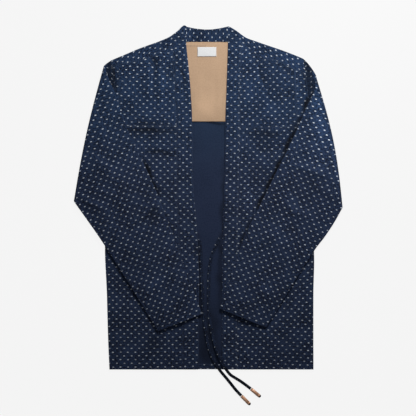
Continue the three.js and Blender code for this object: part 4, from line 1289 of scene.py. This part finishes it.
@dataclass(frozen=True)
class BackYoke:
    """The back yoke, right side down, which wraps over both shoulders to the forward seams."""

    columns: tuple[int, ...] = (9, 1, 6, 1, 9)  # shares of its width, neck in the middle
    grain: Grain = Grain(-139, 222, 0)
    shoulders: Rows = ((-1, 20.5, -150.0, 345.6), (1, -19.5, 150.0, 346.5))  # side, slope in degrees, point
    width: float = 430.0  # about how wide it is, for its edges
    length: float = 190.0  # about how long it is up to its folds, for its mesh
    turned_length: float = 28.0  # and past them
    arc_steps: int = 8
    corner: float = 0.15  # share of the way between the collar's seams where a neck corner's column starts
    sewn_above: float = 2.0  # height above which its ends are sewn to the front yokes

    @cached_property
    def fractions(self) -> Array:
        """Shares of the width where its columns begin and end."""
        return np.concatenate([[0], np.cumsum(self.columns)]) / sum(self.columns)

    def ends(self) -> tuple[float, float, float, float]:
        """Returns x of the arm and neck ends of the right shoulder, then of the left neck and arm ends."""
        right, left = RIGHT.shoulder.rows, LEFT.shoulder.rows
        return right[0][0], right[-1][0] + SEAM, left[0][0] - SEAM, left[-1][0]

    def top(self, x: Array) -> Array:
        """Returns y of the upper edge: both shoulders, and the back neck between them."""
        _, right_neck, left_neck, _ = self.ends()
        neck_y = NECK_Y + SEAM
        knots = [right_neck, *NECK_CORNERS, left_neck]
        heights = [float(RIGHT.shoulder(right_neck)), neck_y, neck_y, float(LEFT.shoulder(left_neck))]
        between = np.interp(x, knots, heights)
        left = np.where(x >= left_neck, LEFT.shoulder(x), between)
        return np.where(x <= right_neck, RIGHT.shoulder(x), left)

    def plan(self, c: Array, v: Array) -> tuple[Array, Array]:
        """Returns the plan of the unturned yoke at column c and share v of the way up it.

        The columns run straight from the lower seam to the upper edge. The outer ones bow with the armholes,
        and the bow fades towards the neck.
        """
        right_arm, right_neck, left_neck, left_arm = self.ends()
        bottom_y = BACK_SEAM_Y - SEAM / 2
        right_seam, left_seam = RIGHT.collar_seam(bottom_y), LEFT.collar_seam(bottom_y)
        top_x = np.interp(c, self.fractions, [right_arm, right_neck, *NECK_CORNERS, left_neck, left_arm])
        corners = [lerp(right_seam, left_seam, share) for share in (self.corner, 1 - self.corner)]
        bottoms = [RIGHT.body(bottom_y), right_seam, *corners, left_seam, LEFT.body(bottom_y)]
        bottom_x = np.interp(c, self.fractions, np.array(bottoms, float))
        y = lerp(bottom_y, self.top(top_x), v)
        from_right = np.clip(1 - c / self.fractions[1], 0, 1)
        from_left = np.clip(1 - (1 - c) / (1 - self.fractions[4]), 0, 1)
        bow = from_right * (RIGHT.body(y) - lerp(RIGHT.body(bottom_y), right_arm, v))
        bow = bow + from_left * (LEFT.body(y) - lerp(LEFT.body(bottom_y), left_arm, v))
        return lerp(bottom_x, top_x, v) + bow, y

    def turned_end(self, c: Array) -> Array:
        """Returns the share v at which each column meets the forward seam, found in eight steps."""
        v = np.full_like(c, 0.9)
        low, high = self.plan(c, 0 * c)[1], self.plan(c, 0 * c + 1)[1]
        for _ in range(8):
            x = self.plan(c, v)[0]
            v = (np.where(x < 0, RIGHT.forward_seam(x), LEFT.forward_seam(x)) - low) / (high - low)
        return v

    def cut(self, x: Array, y: Array, turned: Array) -> Array:
        """Returns places on the cut: what is turned over is mirrored back across its shoulder's line."""
        cut_x, cut_y = np.array(x), np.array(y)
        for side, slope, x0, y0 in self.shoulders:
            nx, ny = -np.sin(np.radians(slope)), np.cos(np.radians(slope))
            off = (x - x0) * nx + (y - y0) * ny
            here = turned & (x * side > 0)
            cut_x = np.where(here, x - 2 * off * nx, cut_x)
            cut_y = np.where(here, y - 2 * off * ny, cut_y)
        return self.grain.cut(cut_x, cut_y)

    def grid(self) -> Shell:
        """Returns the yoke: flat rows, a half circle over each shoulder, and the rows that are turned over.

        The half circle's radius is half the height of what the turned part lies on, so the two meet.
        """
        parts = []
        for k, count in enumerate(self.columns):
            is_shoulder, is_last = k in (0, 4), k == 4
            inner = stations(count * 16) if is_shoulder else np.linspace(0, 1, 2 + count * 3)
            parts.append(lerp(self.fractions[k], self.fractions[k + 1], inner if is_last else inner[:-1]))
        c = np.concatenate(parts)
        has_turn = (c <= self.fractions[1] + 1e-9) | (c >= self.fractions[4] - 1e-9)
        edge_x, edge_y = self.plan(c, 0 * c + 1)
        step = 0.02  # share of the way up over which each column's direction is read
        inside_x, inside_y = self.plan(c, 0 * c + 1 - step)
        out = np.stack([edge_x - inside_x, edge_y - inside_y])
        length = np.hypot(*out) / step
        out = out / np.hypot(*out)
        radius = on_back(edge_x, edge_y) / 2
        start = np.where(has_turn, 1 - (radius + CLOTH / 2) / length, 1)

        flat_v = stations(self.length)[:, None] * start
        angle = np.linspace(0, np.pi, self.arc_steps + 1)[1:-1, None]
        turned_v = lerp(start, self.turned_end(c), stations(self.turned_length, 2.5)[:, None])
        v = np.concatenate([flat_v, start + 0 * angle, turned_v])
        sine = np.concatenate([0 * flat_v, np.sin(angle) + 0 * c, 0 * turned_v])
        cosine = np.concatenate([0 * flat_v + 1, np.cos(angle) + 0 * c, 0 * turned_v - 1])
        columns = c + 0 * v
        x, y = self.plan(columns, v)
        turned = cosine < 0

        rows = np.arange(len(v))[:, None]
        from_end = np.abs(y - y[-1]) + np.where(rows < len(flat_v), FAR, 0)
        from_seam = (y - y[0]) + np.where(turned, FAR, 0)
        edge = np.minimum(np.minimum(from_seam, from_end), np.minimum(c, 1 - c) * self.width)
        half = CLOTH / 2 * rim_share(edge, RIM)
        axis = CLOTH / 2 + radius
        lift = np.where(turned & (sine == 0), on_back(x, y) - on_back(edge_x, edge_y), 0)
        raised = summed(CREASES["underside"], x, y) * (smoothstep(edge, 0, CALM) * (cosine == 1))
        waves = Waves(31, 24, 0.16)(x, y) * (turned & (sine == 0)) * smoothstep(edge, 0, 4)
        sheets = []
        for reach, extra in ((radius + half, raised + waves), (radius - half, waves)):
            z = axis - reach * cosine + lift + extra
            sheets.append(np.stack([x + reach * sine * out[0], y + reach * sine * out[1], z], -1))
        keep = (rows[:-1] < len(flat_v) - 1) | (has_turn[:-1] & has_turn[1:])
        tone = Relief(painted_shading=PAINTED_SHADING["back_yoke"]).tone(x, y)
        return Shell(sheets[0], sheets[1], self.cut(x, y, turned), edge, tone, keep=keep)

    def build(self, wardrobe: Wardrobe, stitches: Stitching) -> None:
        """Makes the yoke and stitches the forward seams."""
        shell = self.grid()
        sides = [wardrobe.dashed, wardrobe.plain]
        lay_cloth(shell, "back_yoke", sides)
        ends = shell.outer[HEM_ROW]
        half = len(ends) // 2
        for end in (ends[2:half], ends[half:-2]):
            stitches.sew(end[end[:, 2] > self.sewn_above])


@dataclass(frozen=True)
class YokeLining:
    """The tan lining of the back yoke, and the blank label on it."""

    yoke: BackYoke
    shoulder_fold: float = 7.0  # how far below the shoulder folds it ends
    skip: float = 2 / 26  # the yoke's share of width that it leaves bare at each arm
    label_size: tuple[float, float] = (43.0, 21.5)
    label_at: tuple[float, float] = (-2.5, 334.6)
    cushion: float = 0.35  # how far the label's middle stands up
    grain: Grain = Grain(0, 170, 0)
    foot: float = 0.004  # share of the yoke's height where the lining begins
    folds_within: tuple[float, float] = (52.0, 34.0)  # half widths over which its folds come up
    length: float = 180.0  # about how long the lining is, for its mesh and its edges

    def lining(self) -> Shell:
        """Returns the lining: the yoke's own plan a layer up, cut short of its folds."""
        fractions = self.yoke.fractions
        knots = [self.skip, fractions[1], fractions[4], 1 - self.skip]
        parts = [np.linspace(start, end, 44)[:-1] for start, end in zip(knots, knots[1:])]
        c, v = np.meshgrid(np.concatenate([*parts, knots[-1:]]), stations(self.length))
        low, high = self.yoke.plan(c, 0 * c)[1], self.yoke.plan(c, 0 * c + 1)[1]
        over_neck = (c > fractions[1] + 0.02) & (c < fractions[4] - 0.02)
        inset = np.where(over_neck, GAP, self.shoulder_fold)
        x, y = self.yoke.plan(c, lerp(self.foot, 1 - inset / (high - low), v))
        across = np.minimum(c - self.skip, 1 - self.skip - c) * self.yoke.width
        edge = np.minimum(np.minimum(v, 1 - v) * self.length, across)
        folds = summed(CREASES["yoke_lining"], x, y) * smoothstep(np.abs(x), *self.folds_within)
        tone = Relief(painted_shading=PAINTED_SHADING["yoke_lining"]).tone(x, y)
        return Shell.level(x, y, LAYER + LINING / 2 + folds, LINING / 2 * rim_share(edge, LINING_RIM),
                           self.grain.cut(x, y), edge, tone)

    def label(self) -> Shell:
        """Returns the label: a slightly cushioned rectangle of tape."""
        (width, height), (x0, y0) = self.label_size, self.label_at
        u, v = np.meshgrid(stations(width, 1.5), stations(height, 1.5))
        x, y = x0 + (u - 0.5) * width, y0 + (v - 0.5) * height
        edge = from_edges(u, width, v, height)
        z = LAYER + LINING + GAP + LINING / 2 + self.cushion * np.sin(np.pi * u) * np.sin(np.pi * v)
        half = LINING / 2 * rim_share(edge, LINING_RIM)
        return Shell.level(x, y, z, half, Grain(x0, y0, 0).cut(x, y), edge)

    def build(self, wardrobe: Wardrobe) -> None:
        """Makes the lining and the label and sews both down."""
        lining, label = self.lining(), self.label()
        lay_cloth(lining, "yoke_lining", [wardrobe.tan, wardrobe.tan], Slot.TAN)
        lay_cloth(label, "label", [wardrobe.white, wardrobe.white], Slot.LABEL,
                  ending="_tape")
        seam = Stitching("lining_stitches", pitch=3.0, length=2.2, radius=0.22)
        seam.sew(lining.outer[4, 4:-4])
        seam.build(wardrobe.tan_thread, Slot.TAN)
        tacks = Stitching("label_stitches", pitch=1.9, length=1.4, radius=0.16)
        tacks.sew(label.outer[3:-3, 4])
        tacks.sew(label.outer[3:-3, -5])
        tacks.build(wardrobe.white, Slot.LABEL)


# ---------------------------------------------------------------- sleeves
@dataclass
class Sleeve:
    """A wide sleeve: a flattened tube of cloth, laid out flat and then turned over onto the front."""

    outline: Outline
    grain: Grain
    bow_width: float = 26.0  # how far from the fold its outward bow fades
    puff_rows: tuple[float, float] = (0.02, 0.12)  # shares of its length over which the upper layer rises
    puff_roundness: float = 0.8
    lower_lift: float = 0.5  # how far the turned lower layer lies above the solid's
    lower_share: float = 0.3  # share of the upper layer's ridges that the lower layer takes
    cap_height: float = 0.4  # how far the cap between the armhole and the fold stands up
    cap_waves: Waves = Waves(61, 30, 0.25)
    cap_shade: float = -0.62  # painted shade in the hollow between the armhole band and the turned sleeve
    cap_shade_span: tuple[float, float] = (-9.0, -3.0)  # distances from the fold over which that painted shade ends
    arc_steps: int = 7
    width: float = 190.0  # about how wide it is, for its mesh
    hem: float = 12.0  # how far from the cuff its stitches lie
    calm: float = 9.0  # distance over which its folds die away towards its edges
    ease: float = 0.03  # share of the turned part's length over which its painted light and shade, and its uneven dye, come up to full strength

    def ring(self, across: Array) -> tuple[Array, Array, Array]:
        """Returns the flattened tube's section, once round.

        Args:
            across: Shares of the flat width, from 0 to 1, for each layer.

        Returns:
            The share of the width, the distance past it on either edge's end circle, and the height of the
            wall's middle.
        """
        radius = (TUBE - CLOTH) / 2
        turn = np.linspace(-np.pi / 2, np.pi / 2, self.arc_steps + 1)[1:-1]
        share = np.concatenate([across, 1 + 0 * turn, across[::-1], 0 * turn])
        beyond = np.concatenate([0 * across, radius * np.cos(turn), 0 * across, -radius * np.cos(turn)])
        height = np.concatenate([-radius + 0 * across, radius * np.sin(turn), radius + 0 * across,
                                 -radius * np.sin(turn)])
        return share, beyond, height + TUBE / 2

    def armhole_bow(self, share: Array) -> Array:
        """Returns how far the armhole stands off its chord, at shares of the way down it."""
        (top_x, top_y), = self.outline.sleeve.top_before(np.zeros(1))
        (foot_x, foot_y), = self.outline.sleeve.under_before(np.zeros(1))
        return self.outline.armhole(lerp(top_y, foot_y, share)) - lerp(top_x, foot_x, share)

    def grid(self, rungs_before: Array, rungs_after: Array, across: Array) -> tuple[Array, Array, Array]:
        """Returns the middle of the sleeve's wall over rungs along it and points round it.

        A rung runs from the upper edge to the lower one. The flat point at distance d past the fold line
        turns through the angle π·(d + F)/R, limited to 0 and π, about an axis at height F, where R = 2F: its
        height is F − r·cos(angle), with r = F − z, and its distance from the fold is r·sin(angle) plus what
        lies before or beyond the roll. The whole is bowed outwards along the fold, except at the armhole.

        Args:
            rungs_before: Shares of the way from the armhole to the fold.
            rungs_after: Shares of the way from the fold to the cuff.
            across: Shares of the width.

        Returns:
            Points, places on the cut, and tones.
        """
        def by_rung(before: Any, after: Any) -> Array:
            """Returns a column of values, one for each rung before the fold and past it."""
            return np.concatenate([before + 0 * rungs_before, after + 0 * rungs_after])[:, None]

        lines = self.outline.sleeve
        share, beyond, tube_z = self.ring(across)
        a = np.concatenate([lines.top_before(rungs_before), lines.top_after(rungs_after)])
        b = np.concatenate([lines.under_before(rungs_before), lines.under_after(rungs_after)])
        step = b - a
        width = np.linalg.norm(step, axis=1, keepdims=True)
        step = step / width
        inset = TUBE / 2
        distance = lerp(inset, width - inset, share) + beyond
        flat = a[:, None] + step[:, None] * distance[..., None]
        fade = by_rung(1 - rungs_before, 0)
        flat[..., 0] += (self.armhole_bow(distance / width) - self.outline.side * 4 * SEAM) * fade

        fold_top, fold_bottom = lines.fold
        fold_length = np.linalg.norm(fold_bottom - fold_top)
        fold = (fold_bottom - fold_top) / fold_length
        out = np.array([-fold[1], fold[0]]) * np.sign(-fold[1]) * self.outline.side
        along, past = (flat - fold_top) @ fold, (flat - fold_top) @ out
        angle = np.pi * np.clip((past + FOLD_Z) / ROLL, 0, 1)
        radius = FOLD_Z - tube_z
        rest = np.minimum(past + FOLD_Z, 0) - np.maximum(past + FOLD_Z - ROLL, 0)
        off = radius * np.sin(angle) + rest - FOLD_Z
        bow = lines.bow * np.sin(np.pi * np.clip(along / fold_length, 0, 1)) * (1 - fade**3)
        bow = bow * np.exp(-((off / self.bow_width) ** 2))
        plan = fold_top + along[..., None] * fold + (off + bow)[..., None] * out
        height = FOLD_Z - radius * np.cos(angle)

        turned = by_rung(0, smoothstep(rungs_after, *self.puff_rows))
        upper = 1 - smoothstep(tube_z, CLOTH, CLOTH + GAP)
        middle = np.sin(np.pi * np.clip(share, 0, 1)) ** self.puff_roundness
        near_edge = np.minimum(share, 1 - share) * width
        name, side = f"sleeve_{self.outline.name}", self.outline.side
        waves, pucker = Waves(40 + side, 55, 0.3), Waves(50 + side, 16, 0.16)
        relief = Relief(CREASES[name], PAINTED_SHADING[name], waves, pucker, wobble=4.0)
        calm = smoothstep(near_edge, 0, self.calm)
        creased = relief(plan[..., 0], plan[..., 1], near_edge) * calm
        lifted = upper * (SLEEVE_PUFF * middle + creased)
        followed = self.lower_lift + self.lower_share * np.maximum(creased, 0)
        lifted = lifted + (1 - upper) * followed * middle
        height = height + turned * lifted
        cap = (1 - turned) * (1 - upper) * calm * (1 - np.cos(angle) < 0.1)
        height = height + cap * (self.cap_height + self.cap_waves(plan[..., 0], plan[..., 1]))
        mirrored = fold_top + along[..., None] * fold - past[..., None] * out
        cut = self.grain.cut(mirrored[..., 0], mirrored[..., 1])
        points = np.concatenate([plan, height[..., None]], axis=-1)
        # Painted shade in the cap's hollow, beside the armhole band.
        deep = self.cap_shade * (1 - smoothstep(off + bow, *self.cap_shade_span))
        # The turned part's painted light and shade come in over the first rungs past the fold.
        dyed = by_rung(0, smoothstep(rungs_after, 0, self.ease))
        shown = relief.tone(plan[..., 0], plan[..., 1]) * dyed * upper
        tone = np.where(by_rung(1, 0) * (angle < 0.1), deep, shown)
        return points, cut, tone

    def shell(self) -> Shell:
        """Returns the sleeve as a wall, its middle surface moved half a thickness along its normals."""
        before = np.concatenate([np.linspace(0, 0.86, 22), [0.9, 0.93, 0.955, 0.975, 0.99]])
        after = np.concatenate([np.linspace(0, 0.034, 14), np.linspace(0.034, 0.992, 178)[1:],
                                [0.995, 0.9975, 0.9992, 1.0]])
        points, cut, tone = self.grid(before, after, stations(self.width))
        round_it = (np.roll(points, -1, axis=1) - np.roll(points, 1, axis=1)) / 2
        normal = unit(np.cross(np.gradient(points, axis=0), round_it))
        outwards = np.sign(self._volume(points))
        from_cuff, from_armhole = [np.linalg.norm(points - points[end], axis=-1) for end in (-1, 0)]
        edge = np.minimum(from_cuff, from_armhole)
        half = (CLOTH / 2 * rim_share(edge, RIM))[..., None]
        outer, inner = points + outwards * half * normal, points - outwards * half * normal
        outer[..., 2] = np.maximum(outer[..., 2], 0.0)
        return Shell(outer, inner, cut, edge, tone, wrap=True)

    @staticmethod
    def _volume(points: Array) -> float:
        """Returns a number whose sign says whether the grid's normals point out of the tube."""
        ring = points[len(points) // 2]
        centre = ring.mean(axis=0)
        along = points[len(points) // 2 + 1].mean(axis=0) - centre
        turn = np.cross(ring - centre, np.roll(ring, -1, axis=0) - centre).sum(axis=0)
        return -float(turn @ along)

    def build(self, wardrobe: Wardrobe, stitches: Stitching) -> None:
        """Makes the sleeve and stitches its cuff hem."""
        shell = self.shell()
        name, front = f"sleeve_{self.outline.name}", f"front_{self.outline.name}"
        lay_cloth(shell, name, [wardrobe.dashed, wardrobe.plain])
        columns = len(stations(self.width))
        middle = shell.outer[:, columns // 2]
        row = int(np.argmin(np.abs(np.linalg.norm(middle - middle[-1], axis=-1) - self.hem)))
        stitches.sew(shell.outer[row, 2:columns - 2])


# ---------------------------------------------------------------- ties
# Rows (distance along the end, radius) of the metal end, and of the cord's end inside its tip, coloured
# near-black as painted shade of the hollow tip.
METAL_PROFILE = ((0.0, 3.2), (0.3, 3.8), (0.8, 4.0), (2.0, 4.0), (2.3, 3.7), (2.7, 3.7), (3.0, 4.0),
                 (12.0, 3.9), (21.6, 4.0), (21.9, 3.7), (22.3, 3.7), (22.6, 4.0), (24.3, 4.0),
                 (24.8, 3.8), (25.0, 3.4), (24.9, 2.9), (24.4, 2.6), (23.0, 2.6))
CORE_PROFILE = ((23.2, 2.5), (24.9, 2.5), (25.1, 3.4), (26.6, 3.5), (27.6, 3.0), (28.3, 2.0), (28.6, 0.6))


@dataclass
class Tie:
    """A flat woven tie that leaves the collar band's edge, and the metal end on it."""

    name: str
    route: Route
    end_at: tuple[float, float, float]
    end_towards: tuple[float, float]
    width: float = 7.0
    thickness: float = 2.0
    twist: float = 0.12  # radians, either way
    twists: float = 21.0  # radians of the twist's wave over the tie's length
    squareness: float = 0.7  # power of its section's superellipse
    dash_edge: float = 3.0  # how far from its middle its row of dashes lies
    shade_over_jacket: float = -0.4  # painted shade over the whole tie
    shade_past_hem: float = -0.38  # and the further painted shade past the hem

    def tape(self) -> tuple[Array, Array, Array]:
        """Returns rings of points round the route, their places on the cut, and the route's own points.

        A ring is the superellipse (w/2·cos a·|cos a|^(p − 1), t/2·sin a·|sin a|^(p − 1)) of power p. Its
        first axis is level and square to the route, its second is square to both, and both twist slowly.
        """
        share = np.linspace(0, 1, 171)
        path = self.route(share)
        ahead = unit(np.gradient(path, axis=0))
        across = unit(np.cross(ahead, [0, 0, 1]))
        up = np.cross(across, ahead)
        turn = self.twist * np.sin(share * self.twists + len(self.name)) * np.sin(np.pi * share)
        cosine, sine = np.cos(turn)[:, None], np.sin(turn)[:, None]
        across, up = across * cosine + up * sine, up * cosine - across * sine
        wide, high = [np.sign(f) * np.abs(f) ** self.squareness for f in circle(20)]
        points = (path[:, None] + across[:, None] * (wide * self.width / 2)[:, None]
                  + up[:, None] * (high * self.thickness / 2)[:, None])
        points[..., 2] = np.maximum(points[..., 2], 0.05)
        across_cut = wide * self.width / 2 - self.dash_edge + 0 * share[:, None]
        cut = np.stack([across_cut, share[:, None] * self.route.length + 0 * wide], -1)
        return points, cut, path

    def spun(self, profile: Rows, sections: int) -> tuple[Array, tuple[Array, Array]]:
        """Returns a profile spun about the metal end's line and flattened."""
        heading = np.array([*self.end_towards, 0.0]) / np.hypot(*self.end_towards)
        side = np.array([heading[1], -heading[0], 0])
        along, radius = np.array(profile).T[..., None, None]
        cosine, sine = circle(sections)
        return closed_tube(np.array(self.end_at) + along * heading + radius * cosine[:, None] * side
                           + radius * sine[:, None] * np.array([0, 0, FLATTENING]))

    def build(self, wardrobe: Wardrobe) -> None:
        rings, cut, path = self.tape()
        points, polygons = closed_tube(rings)
        # Painted shade that deepens where the tie hangs past the hem.
        below = smoothstep(-points[:, 1], -HEM_Y - 14, -HEM_Y - 2)
        tape = mesh_object(self.name + "_tape", points, polygons, [wardrobe.dashed], cut.reshape(-1, 2),
                           marks={"tone": self.shade_over_jacket + self.shade_past_hem * below})
        put_on(tape, Slot.INDIGO, self.name)
        end_node = self.name.replace("tie", "aglet")
        metal = mesh_object(end_node + "_metal", *self.spun(METAL_PROFILE, 28), [wardrobe.copper])
        put_on(metal, Slot.COPPER, end_node)
        # The cord's end in the tip, in near-black painted shade.
        points, polygons = self.spun(CORE_PROFILE, 16)
        core = mesh_object(self.name + "_core", points, polygons, [wardrobe.dark], points[:, :2])
        put_on(core, Slot.INDIGO)
        [tuple(point) for point in path * MM]


TIES = (
    Tie(
        name="tie_right",
        route=Route(((-19.4, -96, 2.6), (-17.8, -112, 2.5), (-16.6, -130, 2.5), (-15.8, -149, 2.5),
                     (-14.7, -176, 2.5), (-13.3, -206, 2.5), (-11.8, -236, 2.5), (-10.2, -263.6, 2.5),
                     (-7.9, -286.6, 2.5), (-4.6, -311.9, 2.5), (-0.6, -334.9, 2.5), (4.2, -353.3, 2.6),
                     (11, -370, 3.6), (19, -384, 4.3), (26.8, -396.5, 4.1), (33.6, -405.5, 2.2),
                     (41.2, -414.5, 1.2), (51.7, -427.5, 1.1), (63.2, -441.8, 1.3), (76.3, -455.7, 2.6))),
        end_at=(76.9, -456.4, 2.9),
        end_towards=(18.7, -18.7),
    ),
    Tie(
        name="tie_left",
        route=Route(((26.6, -94.5, 2.6), (19.1, -109.5, 2.5), (12, -125.6, 2.5), (6.7, -144, 2.5),
                     (3.7, -164.7, 2.5), (2.1, -190, 2.5), (1.4, -217.6, 2.5), (1.6, -245.2, 2.5),
                     (3.2, -272.8, 2.5), (6.9, -300.4, 2.6), (12, -323.4, 3.0), (18, -344.1, 4.4),
                     (25.4, -363.6, 6.5), (33.8, -380.9, 7.1), (41.2, -394, 7.2), (46.4, -401.4, 6.2),
                     (52, -408, 3.4), (61, -414.2, 1.5), (73, -421.6, 1.2), (86.2, -430.9, 1.4),
                     (98.1, -439.8, 2.7))),
        end_at=(98.8, -440.3, 2.9),
        end_towards=(20.4, -17.1),
    ),
)
SIDES = (
    Side(RIGHT, Grain(-139.0, 222.8, -2.5), Grain(-117.6, 86.8, 0.3), (-65.0, 36.9)),
    Side(LEFT, Grain(144.9, 222.3, 3.0), Grain(122.0, 104.2, -2.5), (51.7, 41.6)),
)
SLEEVES = (
    Sleeve(RIGHT, Grain(-216.3, 83.0, 24.0)),
    Sleeve(LEFT, Grain(222.7, 85.5, -23.3)),
)


# ---------------------------------------------------------------- studio
@dataclass(frozen=True)
class Studio:
    """The camera above the jacket, the pale floor and the soft lights."""

    camera_at: tuple[float, float, float] = (0.0, -0.0244, 2.26)
    lens: float = 85.0
    backdrop: float = 0.936

    def camera(self) -> None:
        """Sets a camera that looks straight down, +Y up."""
        data = bpy.data.cameras.new("camera")
        data.lens = self.lens
        data.sensor_width = 36.0
        bpy.context.scene.camera = add_object("camera", data, self.camera_at)

    def floor(self) -> None:
        """Lays a floor that looks evenly pale from above and takes a faint shadow."""
        half, depth = 6000.0, -0.6
        corners = np.array([(-half, -half, depth), (half, -half, depth), (half, half, depth),
                            (-half, half, depth)])
        material, graph, shader = new_material("floor")
        graph.feed(shader, {"Base Color": (0.8, 0.8, 0.8, 1), "Roughness": 0.9})
        glow = graph.add("Emission", {"Color": (1, 1, 1, 1), "Strength": self.backdrop})
        seen = graph.math("MULTIPLY", graph.add("LightPath").outputs["Is Camera Ray"], 0.95)
        mixed = graph.add("MixShader", {0: seen, 1: shader.outputs[0], 2: glow.outputs[0]})
        graph.feed(material.node_tree.nodes["Material Output"], {"Surface": mixed.outputs[0]})
        mesh_object("floor", corners, [np.array([[0, 1, 2, 3]])], [material])

    def light(self, name: str, at: tuple[float, float, float], size: float, power: float) -> None:
        """Hangs a square soft light that faces the jacket's middle.

        Args:
            name: The light's name.
            at: Its place, in metres.
            size: Its side, in metres.
            power: Its power in watts.
        """
        data = bpy.data.lights.new(name, "AREA")
        data.size = size
        data.energy = power
        lamp = add_object(name, data, at)
        lamp.rotation_euler = (-Vector(at)).to_track_quat("-Z", "Y").to_euler()

    def build(self) -> None:
        """Sets the lights, the floor and the surroundings."""
        self.floor()
        self.light("key", (0.38, 0.95, 0.75), 0.4, 14.5)
        self.light("fill", (-0.6, 0.4, 1.6), 1.4, 2)
        world = bpy.data.worlds.new("surroundings")
        bpy.context.scene.world = world
        world.use_nodes = True
        graph = Graph(world.node_tree)
        strength = graph.ramp(graph.add("LightPath").outputs["Is Camera Ray"], 0, 1, (0.12, self.backdrop))
        graph.feed(world.node_tree.nodes["Background"], {"Strength": strength, "Color": (1, 1, 1, 1)})
        bpy.context.scene.view_settings.view_transform = "Standard"


def main() -> None:
    """Sets the camera, then makes the cords and the rest of the jacket in the order in which it lies."""
    logging.basicConfig(level=logging.INFO, format="%(message)s")
    studio = Studio()
    studio.camera()
    wardrobe = Wardrobe.dyed()
    for tie in TIES:
        tie.build(wardrobe)

    stitches = Stitching("topstitching_back")
    Back().build(wardrobe, stitches)
    yoke = BackYoke()
    yoke.build(wardrobe, stitches)
    YokeLining(yoke).build(wardrobe)
    neck_band = Panel(
        name="collar_back",
        edge_a=lambda y: RIGHT.opening(y) - SEAM,
        edge_b=lambda y: LEFT.opening(y) + SEAM,
        bottom_y=NECK_Y,
        top_line=BACK_COLLAR_TOP,
        cut=Grain(-7.3, 368.6, 89.0).cut,
        relief=Relief(painted_shading=PAINTED_SHADING["collar_back"], waves=Waves(9, 40, 0.1), pucker=Waves(10, 15, 0.08)),
        base=neck_base,
        thickness=BAND,
        rounding=0.1,
        rim=BAND_RIM,
    )
    neck_band.build(wardrobe.dashed, wardrobe.dashed, held="folded", rests_on=())
    for side in SIDES:
        side.build(wardrobe)
    for sleeve in SLEEVES:
        sleeve.build(wardrobe, stitches)
    stitches.build(wardrobe.thread, Slot.INDIGO)
    studio.build()


if __name__ == "__main__":
    main()
